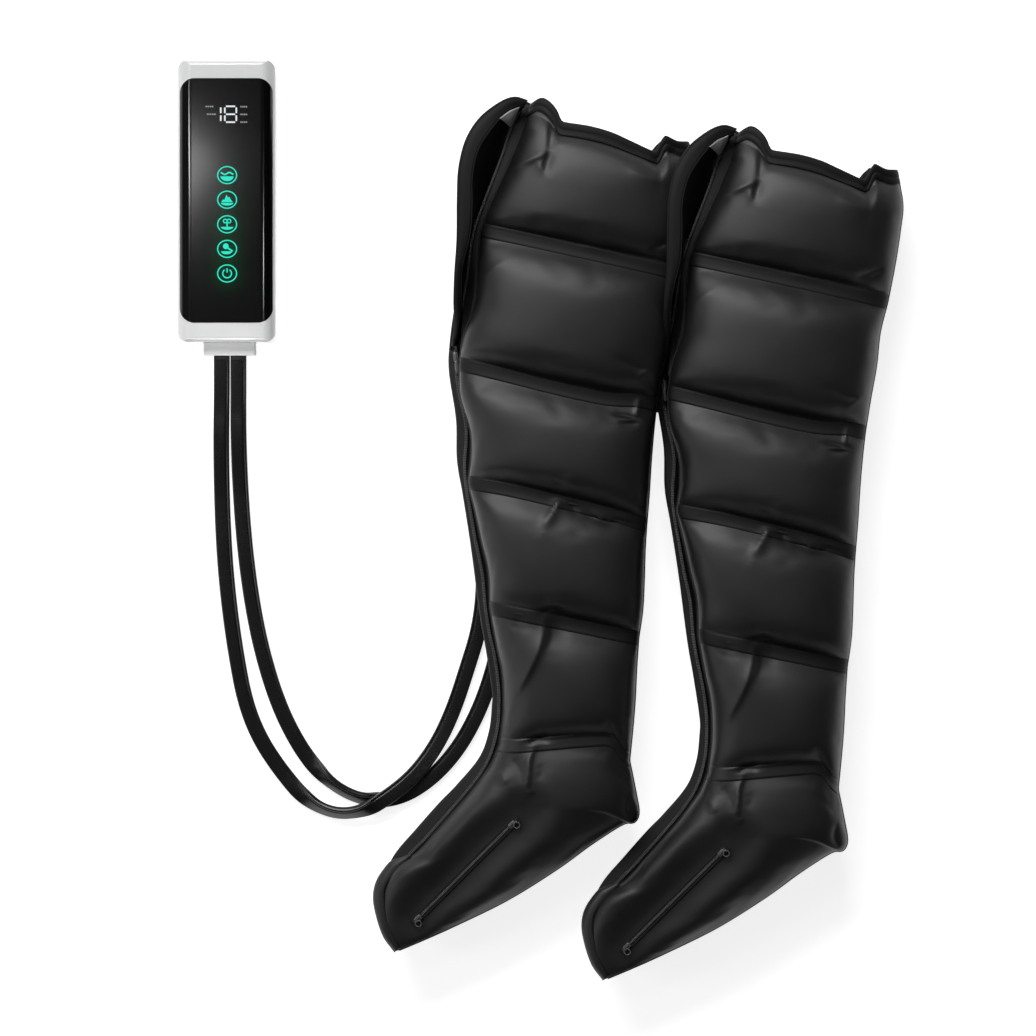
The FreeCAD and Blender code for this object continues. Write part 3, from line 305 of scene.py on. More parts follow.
class Shade:
    """A material's node tree. node() adds any node and gives its output as a Wire."""

    def __init__(self, name):
        self.material = bpy.data.materials.new(name)
        self.material.use_nodes = True
        self.tree = self.material.node_tree
        self.tree.nodes.clear()

    @classmethod
    def of_tree(cls, tree):
        """The same helper on a tree that is there already, such as the world's."""
        shade = cls.__new__(cls)
        shade.tree = tree
        return shade

    def rays_that_see(self):
        """1 for rays from the camera, from gloss and through glass, 0 for the others."""
        camera = self.node("ShaderNodeLightPath", out="Is Camera Ray")
        glossy = self.node("ShaderNodeLightPath", out="Is Glossy Ray")
        passed = self.node("ShaderNodeLightPath", out="Is Transmission Ray")
        return camera.math("MAXIMUM", glossy).math("MAXIMUM", passed)

    def node(self, kind, settings=None, sockets=None, out=0):
        made = self.tree.nodes.new(kind)
        for name, value in (settings or {}).items():
            setattr(made, name, value)
        for name, value in (sockets or {}).items():
            if isinstance(value, Wire):
                self.tree.links.new(value.socket, made.inputs[name])
            else:
                made.inputs[name].default_value = value
        return Wire(self, made.outputs[out])

    def coords(self, scale=(1, 1, 1)):
        """Position on the piece, scaled."""
        sockets = {"Vector": self.node("ShaderNodeTexCoord", out="Object"), "Scale": scale}
        return self.node("ShaderNodeMapping", {"vector_type": "TEXTURE"}, sockets)

    def axis(self, where, place):
        """One component of a position: 0, 1 or 2."""
        return self.node("ShaderNodeSeparateXYZ", None, {0: where}, out=place)

    def noise(self, where, size, detail=2.0, roughness=0.5):
        """Noise from 0 to 1 whose blots are about size metres across."""
        sockets = {"Vector": where, "Scale": 1 / size, "Detail": detail, "Roughness": roughness}
        return self.node("ShaderNodeTexNoise", None, sockets)

    def tint(self, factor, low, high):
        """Colour that goes from low to high with factor."""
        sockets = {0: factor, 6: (*low, 1), 7: (*high, 1)}
        return self.node("ShaderNodeMix", {"data_type": "RGBA"}, sockets, out=2)

    def bump(self, height, depth, strength):
        """Normal from a height from 0 to 1 that is depth metres deep."""
        sockets = {"Height": height, "Distance": depth, "Strength": strength}
        return self.node("ShaderNodeBump", None, sockets)

    def ribs(self, where, pitch):
        """Ribs from -1 to 1 along a position's value, one every pitch metres."""
        return (where * (2 * math.pi / pitch)).math("SINE")

    def finish(self, **sockets):
        """Principled shader from socket names written with underscores, to the output."""
        named = {key.replace("_", " "): value for key, value in sockets.items()}
        for key in ("Base Color", "Emission Color"):
            if isinstance(named.get(key), tuple):
                named[key] = (*named[key], 1)
        skin = self.node("ShaderNodeBsdfPrincipled", None, named)
        self.node_output(skin)
        return self.material

    def node_output(self, skin):
        """Joins a shader to the material's surface."""
        made = self.tree.nodes.new("ShaderNodeOutputMaterial")
        self.tree.links.new(skin.socket, made.inputs["Surface"])


WEAVE_PITCH = 0.0007
TAPE_PITCH = (0.0011, 0.0014)  # along and against the slant


def toned(colour, times):
    """A colour made lighter or darker."""
    return tuple(min(1.0, channel * times) for channel in colour)


def coated_fabric(name, colour, roughness, specular=0.6):
    """Satin coated cloth: faint weave, soft mottling, slightly rougher patches."""
    shade = Shade(name)
    where = shade.coords()
    cloud = shade.noise(where, 0.035, 3.0)
    grain = shade.noise(where, 0.0012, 2.0, 0.6)
    weave = (shade.ribs(shade.axis(where, 0), WEAVE_PITCH)
             * shade.ribs(shade.axis(where, 1), WEAVE_PITCH)) * 0.25 + 0.5
    base = shade.tint(cloud.over(0.3, 0.7), colour, toned(colour, 1.35))
    rough = roughness + (cloud - 0.5) * 0.08 + (grain - 0.5) * 0.06
    normal = shade.bump(weave * 0.5 + grain * 0.5, 0.00006, 0.6)
    return shade.finish(Base_Color=base, Roughness=rough, Normal=normal,
                        Specular_IOR_Level=specular)


def woven_tape(name, colour, sheen=0.1, specular=0.4):
    """Matte woven tape: fine diagonal ribs across its surface."""
    shade = Shade(name)
    where = shade.coords()
    slant = shade.axis(where, 0) + shade.axis(where, 1) * 0.6 + shade.axis(where, 2)
    counter = shade.axis(where, 1) - shade.axis(where, 0) * 0.6
    rib = shade.ribs(slant, TAPE_PITCH[0]) * 0.5 + 0.5
    cross = shade.ribs(counter, TAPE_PITCH[1]) * 0.5 + 0.5
    base = shade.tint(rib * cross, colour, toned(colour, 1.3))
    normal = shade.bump(rib * cross, 0.00006, 0.5)
    return shade.finish(Base_Color=base, Roughness=0.62 - rib * 0.1, Normal=normal,
                        Specular_IOR_Level=specular, Sheen_Weight=sheen, Sheen_Roughness=0.4)


def moulded(name, colour, roughness, texture=0.00002, coat=0.0, size=0.0008):
    """Moulded plastic, rubber or painted metal: fine grain and slight change of gloss."""
    shade = Shade(name)
    where = shade.coords()
    cloud = shade.noise(where, 0.03, 2.0)
    grain = shade.noise(where, size, 2.0)
    base = shade.tint(cloud, toned(colour, 0.94), toned(colour, 1.05))
    rough = roughness + (cloud - 0.5) * 0.04 + (grain - 0.5) * 0.03
    normal = shade.bump(grain, texture, 0.5)
    return shade.finish(Base_Color=base, Roughness=rough, Normal=normal, Coat_Weight=coat,
                        Coat_Roughness=0.08)


def turned_steel(name, colour):
    """Bright steel with fine brushing along Y."""
    shade = Shade(name)
    where = shade.coords()
    brush = shade.noise(shade.coords((1, 0.04, 1)), 0.0006, 2.0)
    cloud = shade.noise(where, 0.01, 2.0)
    base = shade.tint(cloud, toned(colour, 0.85), colour)
    return shade.finish(Base_Color=base, Metallic=1.0, Roughness=0.28 + brush * 0.15,
                        Normal=shade.bump(brush, 0.00002, 0.4))


def lit_mark(name, colour, strength):
    """Glowing ink of the display and the key marks, slightly uneven."""
    shade = Shade(name)
    cloud = shade.noise(shade.coords(), 0.002, 1.0)
    glow = shade.tint(cloud, toned(colour, 0.9), colour)
    return shade.finish(Base_Color=(0.02, 0.02, 0.02), Roughness=0.3, Emission_Color=glow,
                        Emission_Strength=strength)


MATERIALS = {}  # filled by the operators, by plain names


def dress(node, material):
    """Gives a frame node a new material in all its slots."""
    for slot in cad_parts[node].material_slots:
        slot.material = MATERIALS[material]


# ------------------------------------------------------------------ settings
class StudioSettings(bpy.types.PropertyGroup):
    """Lamps, floor and camera."""
    lens: bpy.props.FloatProperty(name="Lens", description="Focal length", default=200.0,
                                  unit="CAMERA")
    height: bpy.props.FloatProperty(name="Camera height", description="Camera above the floor",
                                    default=6.391, unit="LENGTH")
    view_x: bpy.props.FloatProperty(name="View X", description="Camera's place along X",
                                    default=-0.02365, unit="LENGTH")
    view_y: bpy.props.FloatProperty(name="View Y", description="Camera's place along Y",
                                    default=0.00165, unit="LENGTH")
    key_power: bpy.props.FloatProperty(name="Key lamp", description="Power of the main lamp",
                                       default=58.0, unit="POWER")
    fill_power: bpy.props.FloatProperty(name="Fill lamp", description="Power of the soft lamp",
                                        default=8.0, unit="POWER")
    strip_power: bpy.props.FloatProperty(name="Strip lamps", default=3.0, unit="POWER",
                                         description="Power of the lamps for the glass edges")
    sky: bpy.props.FloatProperty(name="Sky", description="Strength of the even light",
                                 default=0.08)
    floor_glow: bpy.props.FloatProperty(name="Floor glow", default=0.82,
                                        description="White that the floor adds for the camera")


class BootSettings(bpy.types.PropertyGroup):
    """Sizes and colours of the boots."""
    fabric: bpy.props.FloatVectorProperty(name="Fabric", description="Coated cloth",
                                          subtype="COLOR", default=(0.0055, 0.0055, 0.006))
    binding: bpy.props.FloatVectorProperty(name="Binding", description="Woven binding tape",
                                           subtype="COLOR", default=(0.006, 0.006, 0.0065))
    gloss: bpy.props.FloatProperty(name="Roughness", description="Roughness of the cloth",
                                   default=0.48, min=0, max=1)
    fill: bpy.props.FloatProperty(name="Fill", description="How tight the cells are",
                                  default=0.7, min=0, max=1)


class HoseSettings(bpy.types.PropertyGroup):
    """Sizes and colour of the flat hoses."""
    width: bpy.props.FloatProperty(name="Width", description="Width of a hose",
                                   default=0.0178, unit="LENGTH")
    thick: bpy.props.FloatProperty(name="Thickness", description="Thickness of a hose",
                                   default=0.0064, unit="LENGTH")
    colour: bpy.props.FloatVectorProperty(name="Colour", description="Hose rubber",
                                          subtype="COLOR", default=(0.009, 0.009, 0.0095))


class HandsetSettings(bpy.types.PropertyGroup):
    """Colours of the handset and its lights."""
    shell: bpy.props.FloatVectorProperty(name="Shell", description="Housing colour",
                                         subtype="COLOR", default=(0.86, 0.865, 0.87))
    glass: bpy.props.FloatVectorProperty(name="Glass", description="Front cover colour",
                                         subtype="COLOR", default=(0.002, 0.0022, 0.0025))
    marks: bpy.props.FloatVectorProperty(name="Key marks", description="Colour of the lit keys",
                                         subtype="COLOR", default=(0.0, 0.8, 0.58))
    digits: bpy.props.IntProperty(name="Digits", description="Number that the display shows",
                                  default=18, min=0, max=99)


# ------------------------------------------------------------------ stage
def white_floor(glow):
    """Floor that is white to the camera and in reflections, and keeps the shadows."""
    shade = Shade("studio_floor")
    grain = shade.noise(shade.coords(), 0.4, 1.0)
    base = shade.tint(grain, (0.8, 0.8, 0.8), (0.82, 0.82, 0.82))
    matte = shade.node("ShaderNodeBsdfDiffuse", None, {"Color": base})
    extra = shade.node("ShaderNodeEmission", None, {"Color": (1, 1, 1, 1), "Strength": glow})
    both = shade.node("ShaderNodeAddShader", None, {0: matte, 1: extra})
    seen = shade.rays_that_see()
    mixed = shade.node("ShaderNodeMixShader", None, {0: seen, 1: matte, 2: both})
    shade.node_output(mixed)
    return shade.material


def even_sky(strength):
    """Dim even sky, less from the right, that the camera and level reflections see white."""
    world = bpy.data.worlds.new("even_sky")
    world.use_nodes = True
    world.node_tree.nodes.clear()
    shade = Shade.of_tree(world.node_tree)
    seen = shade.rays_that_see()
    toward = shade.node("ShaderNodeTexCoord", out="Generated")
    dim_right = 1.0 - shade.axis(toward, 0).over(-0.15, 0.45) * 0.9
    backdrop = seen * (1.0 - shade.axis(toward, 2).over(0.05, 0.3))
    camera_ray = shade.node("ShaderNodeLightPath", out="Is Camera Ray")
    white = {"Color": (1, 1, 1, 1), "Strength": 1.0}
    soft = {"Color": (1, 1, 1, 1), "Strength": dim_right * strength}
    sky = shade.node("ShaderNodeMixShader", None, {
        0: backdrop.math("MAXIMUM", camera_ray),
        1: shade.node("ShaderNodeBackground", None, soft),
        2: shade.node("ShaderNodeBackground", None, white)})
    out = shade.tree.nodes.new("ShaderNodeOutputWorld")
    shade.tree.links.new(sky.socket, out.inputs["Surface"])
    return world


# Lamps: name, place, target and side lengths in metres, the setting and share of its power
LAMPS = [
    ("key_lamp", (-0.62, 1.95, 2.15), (0, 0, 0), (2.2, 0.9), "key_power", 1.0),
    ("side_lamp", (-2.3, -0.3, 1.6), (0, -0.1, 0), (0.7, 1.6), "fill_power", 1.0),
    ("left_strip", (-1.43, 0.6, 3.0), (-0.38, 0.4, 0), (0.1, 0.55), "strip_power", 1.0),
    ("right_strip", (0.8, 0.43, 3.0), (-0.3, 0.3, 0), (0.1, 0.26), "strip_power", 0.45),
    ("glass_glow", (-0.616, 0.553, 3.0), (-0.378, 0.378, 0.058), (0.17, 0.13), "strip_power",
     0.155),
]
SPOT_SHARE = 1.7  # of the main lamp's power, in the narrow lamp on the hose plug
FLOOR_HALF = 6.0


def area_lamp(name, place, target, size, power):
    """Soft lamp of two side lengths at place that looks at target."""
    data = bpy.data.lights.new(name, "AREA")
    data.shape = "RECTANGLE"
    data.size, data.size_y = size
    data.energy = power
    lamp = bpy.data.objects.new(name, data)
    bpy.context.scene.collection.objects.link(lamp)
    from_target = np.array(place, float) - np.array(target, float)
    lamp.location = place
    across = math.atan2(from_target[0], -from_target[1])
    tilt = math.acos(from_target[2] / np.linalg.norm(from_target))
    lamp.rotation_euler = (tilt, 0, across)
    return lamp


class STAGE_OT_build(bpy.types.Operator):
    """Build the floor, the lamps, the sky and the camera"""
    bl_idname = "boots.stage"
    bl_label = "Studio"

    def execute(self, context):
        studio = context.scene.boots_studio
        scene = context.scene
        scene.view_settings.view_transform = "Standard"
        scene.world = even_sky(studio.sky)
        mesh = bpy.data.meshes.new("floor")
        corners = [(-1, -1, 0), (1, -1, 0), (1, 1, 0), (-1, 1, 0)]
        mesh.from_pydata((np.array(corners) * FLOOR_HALF).tolist(), [], [[0, 1, 2, 3]])
        mesh.materials.append(white_floor(studio.floor_glow))
        floor = bpy.data.objects.new("floor", mesh)
        scene.collection.objects.link(floor)
        for name, place, target, size, power, share in LAMPS:
            area_lamp(name, place, target, size, getattr(studio, power) * share)
        spot = bpy.data.lights.new("plug_spot", "SPOT")
        spot.energy = studio.key_power * SPOT_SHARE
        spot.spot_size = math.radians(5)
        spot.spot_blend = 1.0
        spot.shadow_soft_size = 0.05
        lamp = bpy.data.objects.new("plug_spot", spot)
        scene.collection.objects.link(lamp)
        lamp.location = (-0.345, -1.6, 1.25)
        lamp.rotation_euler = (math.atan2(1.78, 1.22), 0, 0)
        data = bpy.data.cameras.new("camera")
        data.lens = studio.lens
        data.sensor_width = 36.0
        data.dof.use_dof = False
        data.clip_end = 100.0
        camera = bpy.data.objects.new("camera", data)
        camera.location = (studio.view_x, studio.view_y, studio.height)
        scene.collection.objects.link(camera)
        scene.camera = camera
        return {"FINISHED"}


# ------------------------------------------------------------------ hoses
OUTER_HOSE = [
    (-351.1, 181.0, 28.0), (-351.1, 138.0, 28.0), (-350.2, 86.0, 11.5), (-349.5, 30.0, 3.5),
    (-346.8, -36.0, 3.5), (-341.5, -94.0, 3.5), (-333.5, -150.0, 3.5), (-324.0, -200.0, 3.5),
    (-308.5, -240.0, 3.5), (-284.0, -277.0, 3.5), (-257.0, -308.5, 6.5), (-226.0, -324.0, 10.9),
    (-193.0, -321.0, 10.9), (-163.5, -303.0, 10.9), (-136.0, -280.0, 10.9),
    (-112.0, -247.0, 6.5), (-94.0, -208.0, 3.5), (-80.0, -165.0, 3.5), (-66.0, -120.0, 3.5),
    (-60.5, -72.0, 3.5), (-64.0, -22.0, 3.5), (-72.0, 30.0, 3.5), (-77.5, 82.0, 3.5),
    (-79.0, 134.0, 3.5), (-74.0, 186.0, 3.5), (-62.0, 236.0, 3.5),
]
INNER_HOSE = [
    (-332.7, 181.0, 28.0), (-332.7, 138.0, 28.0), (-331.0, 86.0, 11.5), (-328.8, 30.0, 3.5),
    (-324.2, -30.0, 3.5), (-317.0, -86.0, 3.5), (-307.0, -138.0, 3.5), (-292.0, -190.0, 3.5),
    (-275.0, -230.0, 3.5), (-253.0, -266.0, 3.5), (-224.0, -295.0, 3.5), (-190.0, -309.5, 3.5),
    (-153.0, -306.0, 3.5), (-120.0, -286.0, 3.5), (-92.0, -256.0, 3.5), (-71.0, -220.0, 3.5),
    (-55.0, -180.0, 3.5), (-43.0, -134.0, 3.5), (-38.0, -84.0, 3.5), (-42.0, -30.0, 3.5),
    (-51.0, 26.0, 3.5), (-56.5, 76.0, 3.5), (-57.5, 110.0, 3.5), (-43.0, 136.3, 3.5),
    (-17.0, 151.5, 3.5), (13.0, 151.0, 3.5), (60.0, 142.0, 3.5), (108.0, 130.5, 3.5),
    (155.0, 121.5, 3.5),
]


# Routes are drawn as seen from above at one level, so lower points spread from the middle
VIEW_CENTRE = (-23.65, 1.65)
VIEW_REACH = 6331.0
ROUTE_LEVEL = 60.0
TURN_Y = -200.0  # below this the hoses turn back up
# Each hose's route, its share of the lift at the turn, and where it stands on edge: x, reach
HOSES = {"outer_hose": (OUTER_HOSE, 0.75, -224.0, 40.0),
         "inner_hose": (INNER_HOSE, 0.55, -214.0, 34.0)}
EDGE_TILT = 58.0
TURN_LIFT = 7.5


def nurbs_line(name, route):
    """Points read from the route's own smooth spline, in millimetres."""
    data = bpy.data.curves.new(name + "_route", "CURVE")
    data.dimensions = "3D"
    data.resolution_u = 12
    spline = data.splines.new("NURBS")
    spline.points.add(len(route) - 1)
    flat = np.hstack([np.array(route) * MM, np.ones((len(route), 1))])
    spline.points.foreach_set("co", flat.ravel())
    spline.order_u = 3
    spline.use_endpoint_u = True
    guide = bpy.data.objects.new(name + "_route", data)
    bpy.context.scene.collection.objects.link(guide)
    mesh = bpy.data.meshes.new_from_object(guide)
    points = np.zeros(len(mesh.vertices) * 3)
    mesh.vertices.foreach_get("co", points)
    bpy.data.objects.remove(guide)
    bpy.data.meshes.remove(mesh)
    return points.reshape(-1, 3) / MM


HOSE_PROFILE = [(1.0, 0.0), (0.992, 0.4), (0.97, 0.76), (0.92, 0.97), (0.8, 1.0), (0.3, 1.0),
                (-0.4, 1.0), (-0.5, 0.95), (-0.56, 0.82), (-0.61, 0.74), (-0.7, 0.88),
                (-0.79, 1.0), (-0.88, 0.98), (-0.95, 0.82), (-0.99, 0.45), (-1.0, 0.0)]


def hose_section(width, thick):
    """Ring of a flat hose with a narrow sensing bore along its right side."""
    top = np.array(HOSE_PROFILE)
    ring = np.vstack([top, top[-2:0:-1] * (1, -1)])
    return ring * (width / 2, thick / 2)


def hose_roll(path, peak, reach):
    """Up vectors of a hose that stands partly on edge round its turn near x = peak."""
    share = np.exp(-((path[:, 0] - peak) / reach) ** 4) * (path[:, 1] < TURN_Y)
    angle = np.radians(EDGE_TILT) * share
    ahead = unit(np.gradient(path, axis=0))
    inward = unit(np.cross(UP, ahead))
    return UP * np.cos(angle)[:, None] - inward * np.sin(angle)[:, None]


class HOSE_OT_build(bpy.types.Operator):
    """Build the two flat air hoses along their routes"""
    bl_idname = "boots.hoses"
    bl_label = "Air hoses"

    def execute(self, context):
        sizes = context.scene.boots_hoses
        material = moulded("hose_rubber", tuple(sizes.colour), 0.27, 0.00001)
        MATERIALS["hose"] = material
        section = hose_section(sizes.width / MM, sizes.thick / MM)
        half_width, half_thick = section.max(0)
        for name, (route, lifted, peak, reach) in HOSES.items():
            route = np.array(route)
            spread_out = (route[2:, :2] - VIEW_CENTRE) * (ROUTE_LEVEL - route[2:, 2:]) / VIEW_REACH
            route[2:, :2] += spread_out
            lift = TURN_LIFT * np.exp(-((route[:, 0] + 176.0) / 42.0) ** 2)
            route[:, 2] += lift * (route[:, 1] < TURN_Y) * lifted
            path = nurbs_line(name, route)
            up = hose_roll(path, peak, reach)
            tall = np.linalg.norm(np.stack([half_width * (1 - up[:, 2]**2)**0.5,
                                            half_thick * up[:, 2]]), axis=0)
            path[:, 2] = np.maximum(path[:, 2], tall + 1.0)
            hose = add_piece(name + "_tube", sweep(path, section, up=up), material, "boots",
                             (name,))
        return {"FINISHED"}


# ------------------------------------------------------------------ handset
SEGMENTS = {
    0: "abcdef", 1: "bc", 2: "abged", 3: "abgcd", 4: "fgbc", 5: "afgcd", 6: "afgedc",
    7: "abc", 8: "abcdefg", 9: "abcdfg",
}
GLASS_Z = 58.4
INK_LOW = GLASS_Z - 0.05
INK_HIGH = GLASS_Z + 0.12
KEY_X = -343.7
KEY_Y = [270.7 + 27.05 * k for k in range(5)]
KEY_NAMES = ["power_key", "massage_key_1", "massage_key_2", "massage_key_3", "massage_key_4"]
DIGIT_SIZE = (12.6, 17.4, 1.8)  # width, height, line
DIGIT_X = (-357.0, -339.9)
DIGIT_Y = 445.9
# Short bars beside the digits: centre and half length of each row of four dashes
DISPLAY_BARS = [(-363.2, 454.4, 4.3), (-361.0, 445.9, 5.0), (-325.5, 454.2, 3.8),
                (-325.5, 445.7, 3.8), (-325.5, 437.2, 3.8)]
DASH_STARTS = (-1.0, -0.45, 0.1, 0.6)
SPILL_LEVELS = (0.9, 1.0, 0.9, 0.55, 0.45)  # light spilt round each key, upwards
FINISHES = {
    "shell": ["front_housing", "rear_housing", "hose_plug"],
    "glass": ["front_glass", *KEY_NAMES],
    "board": ["key_board", "main_board"],
    "inner": ["display_module", "battery_holder", "pump_head", "valve_manifold", "hose_socket",
              "left_air_inlet", "right_air_inlet"],
    "wrap": ["battery_cells"],
    "steel": ["motor_can", "motor_rotor", "solenoid_valves", "charging_port", "housing_screws"],
    "foot": ["rubber_feet"],
    "hose": ["air_tubes"],
}


def stroke(points, width, closed=False):
    """Line of ink with square edges along plan points."""
    plan = np.asarray(points, float)
    path = np.hstack([plan, np.full((len(plan), 1), (INK_LOW + INK_HIGH) / 2)])
    half = (INK_HIGH - INK_LOW) / 2
    ring = [(width / 2, -half), (width / 2, half), (-width / 2, half), (-width / 2, -half)]
    return sweep(path, ring, closed=closed)


def arc(centre, radius, start, end, count, squash=1.0):
    """Plan points on an arc between two angles in degrees."""
    turn = np.radians(np.linspace(start, end, count))
    return np.stack([centre[0] + radius * np.cos(turn),
                     centre[1] + radius * squash * np.sin(turn)], 1)


def digit_strokes(number, x, y):
    """Seven-segment digit about a centre: the segments that the number lights."""
    width, height, line = DIGIT_SIZE
    x0, x1 = x - width / 2, x + width / 2
    y0, y1, y2 = y - height / 2, y, y + height / 2
    gap = line * 0.7
    bars = {"a": [(x0 + gap, y2), (x1 - gap, y2)], "b": [(x1, y2 - gap), (x1, y1 + gap)],
            "c": [(x1, y1 - gap), (x1, y0 + gap)], "d": [(x0 + gap, y0), (x1 - gap, y0)],
            "e": [(x0, y1 - gap), (x0, y0 + gap)], "f": [(x0, y2 - gap), (x0, y1 + gap)],
            "g": [(x0 + gap, y1), (x1 - gap, y1)]}
    return [stroke(bars[part], line) for part in SEGMENTS[number]]


def ink(ring):
    """Flat filled patch of ink from plan points."""
    count = len(ring)
    low = np.hstack([ring, np.full((count, 1), INK_LOW)])
    high = np.hstack([ring, np.full((count, 1), INK_HIGH)])
    return np.vstack([low, high]), tube_faces(2, count)


def bowl(centre, half, deep):
    """Filled half oval of ink, flat side up."""
    return ink(arc(centre, half, 180, 360, 20, deep / half))


def key_marks(place, x, y):
    """Ring and simple motif of one key, about the key's centre."""
    parts = [stroke(arc((x, y), 10.4, 0, 354, 60, 0.9), 1.3, closed=True)]
    if place == 0:
        parts.append(stroke(arc((x, y), 4.8, 125, 415, 28), 1.4))
        parts.append(stroke([(x, y + 1.0), (x, y + 5.8)], 1.4))
    elif place == 1:
        parts.append(ink(arc((x - 1.4, y + 2.9), 3.2, 0, 342, 20)))
        parts.append(stroke([(x + 0.4, y + 1.2), (x + 6.2, y - 2.6)], 1.8))
        parts.append(bowl((x - 0.6, y - 2.6), 6.0, 3.4))
    elif place == 2:
        parts.append(stroke([(x, y - 3.2), (x, y + 2.6)], 1.5))
        parts.append(stroke(arc((x - 2.1, y + 3.6), 2.0, 0, 342, 16), 1.3, closed=True))
        parts.append(stroke(arc((x + 2.1, y + 3.6), 2.0, 0, 342, 16), 1.3, closed=True))
        parts.append(bowl((x, y - 2.8), 6.8, 3.2))
    elif place == 3:
        peaks = [(-6.4, -2.6), (-4.6, 0.4), (-3.0, -0.2), (-0.6, 5.6), (0.8, 2.4), (2.2, 3.4),
                 (4.6, -0.6), (6.4, -2.6)]
        parts.append(ink(np.array(peaks) + (x, y)))
        parts.append(bowl((x, y - 3.4), 6.8, 3.0))
    else:
        wave = np.linspace(-7.0, 7.0, 30)
        parts.append(stroke(np.stack([x + wave, y + 1.8 + 1.1 * np.sin(wave * 0.62)], 1), 1.7))
        parts.append(bowl((x, y - 1.4), 7.2, 5.2))
    return parts


def glass_shader(colour, glow):
    """Gloss black cover, with a faint spill of light round each lit key."""
    shade = Shade("front_glass_gloss")
    where = shade.coords()
    x = shade.axis(where, 0)
    y = shade.axis(where, 1)
    spill = None
    for level, key_y in zip(SPILL_LEVELS, KEY_Y):
        across = (x - KEY_X * MM) / 0.015
        along = (y - (key_y - 2.0) * MM) / 0.014
        fade = (across * across + along * along).math("MULTIPLY", -1.0).math("EXPONENT")
        spill = fade * level if spill is None else spill + fade * level
    light = shade.tint(spill, (0.0, 0.0, 0.0), glow)
    smear = shade.noise(where, 0.02, 2.0)
    return shade.finish(Base_Color=colour, Roughness=0.09 + smear * 0.015, Coat_Weight=0.4,
                        Coat_Roughness=0.07, Emission_Color=light, Emission_Strength=0.07)


class HANDSET_OT_build(bpy.types.Operator):
    """Dress the handset and add its display and key marks"""
    bl_idname = "boots.handset"
    bl_label = "Handset"

    def execute(self, context):
        tones = context.scene.boots_handset
        MATERIALS.update({
            "shell": moulded("gloss_shell", tuple(tones.shell), 0.2, 0.000006, 0.5, 0.002),
            "glass": glass_shader(tuple(tones.glass), (0.0, 0.42, 0.1)),
            "board": moulded("board_lacquer", (0.015, 0.11, 0.05), 0.35),
            "inner": moulded("inner_plastic", (0.09, 0.09, 0.095), 0.5),
            "wrap": moulded("battery_wrap", (0.04, 0.13, 0.36), 0.35),
            "steel": turned_steel("turned_steel", (0.58, 0.58, 0.6)),
            "foot": moulded("foot_rubber", (0.05, 0.05, 0.052), 0.75, 0.00006),
            "key_light": lit_mark("key_light", tuple(tones.marks), 1.05),
            "digit_light": lit_mark("display_light", (0.85, 0.9, 0.92), 0.95),
            "bar_light": lit_mark("bar_light", (0.5, 0.52, 0.53), 0.6),
        })
        for finish, nodes in FINISHES.items():
            for node in nodes:
                dress(node, finish)
        digits = [digit_strokes(number, x, DIGIT_Y)
                  for number, x in zip(divmod(tones.digits, 10), DIGIT_X)]
        self.mark("display_digits", digits[0] + digits[1], "digit_light", "handset")
        bars = [stroke([(x + start * size, y), (x + (start + 0.4) * size, y)], 1.5)
                for x, y, size in DISPLAY_BARS for start in DASH_STARTS]
        self.mark("display_bars", bars, "bar_light", "handset")
        for place, (name, y) in enumerate(zip(KEY_NAMES, KEY_Y)):
            self.mark(name + "_mark", key_marks(place, KEY_X, y), "key_light", name)
        return {"FINISHED"}

    def mark(self, name, parts, light, body):
        """Strokes and patches of lit ink as one piece."""
        add_piece(name, join_grids(parts), MATERIALS[light], body, smooth=False)


# ------------------------------------------------------------------ boot form
# Rungs down each cell: front edge and back edge of the half over the leg, in plan.
CELL_RUNGS = {
    "thigh_high": [((-9.4, 454.9), (163.4, 413.1)), ((-22.6, 417.5), (169.5, 377.9)),
                   ((-38.0, 381.2), (167.2, 351.5)), ((-54.5, 344.9), (161.2, 311.9)),
                   ((-64.4, 317.4), (153.0, 269.5))],
    "thigh_low": [((-64.4, 317.4), (153.0, 269.5)), ((-67.7, 280.0), (144.7, 236.0)),
                  ((-71.0, 239.3), (140.8, 200.8)), ((-82.5, 204.1), (134.2, 163.4)),
                  ((-88.0, 170.4), (128.2, 126.0))],
    "knee": [((-88.0, 170.4), (128.2, 126.0)), ((-86.4, 135.9), (124.9, 96.3)),
             ((-75.9, 98.5), (122.1, 62.2)), ((-74.8, 71.0), (119.9, 27.0)),
             ((-78.1, 40.2), (117.2, -6.1))],
    "calf": [((-78.1, 40.2), (117.2, -6.1)), ((-69.9, 7.2), (115.5, -33.6)),
             ((-62.2, -28.1), (114.4, -69.9)), ((-55.6, -57.8), (112.8, -99.6)),
             ((-53.9, -97.4), (108.4, -130.4))],
    "ankle": [((-53.9, -97.4), (108.4, -130.4)), ((-46.8, -137.0), (106.2, -163.4)),
              ((-40.2, -171.1), (104.5, -198.6)), ((-39.1, -209.6), (101.8, -231.6)),
              ((-43.5, -247.0), (98.5, -264.6))],
    "foot": [((-43.5, -247.0), (98.5, -264.6)), ((-52.3, -267.9), (105.1, -297.6)),
             ((-64.4, -285.5), (108.9, -321.8)), ((-71.5, -295.0), (103.8, -332.6)),
             ((-78.7, -304.2), (91.5, -334.6)),
             ((-95.2, -322.9), (57.8, -355.9)), ((-113.9, -343.8), (18.2, -384.5)),
             ((-133.7, -365.8), (-36.9, -418.6)), ((-157.9, -383.4), (-98.5, -448.3)),
             ((-171.6, -407.6), (-154.0, -472.5))],
}
CELL_ORDER = ["thigh_high", "thigh_low", "knee", "calf", "ankle", "foot"]
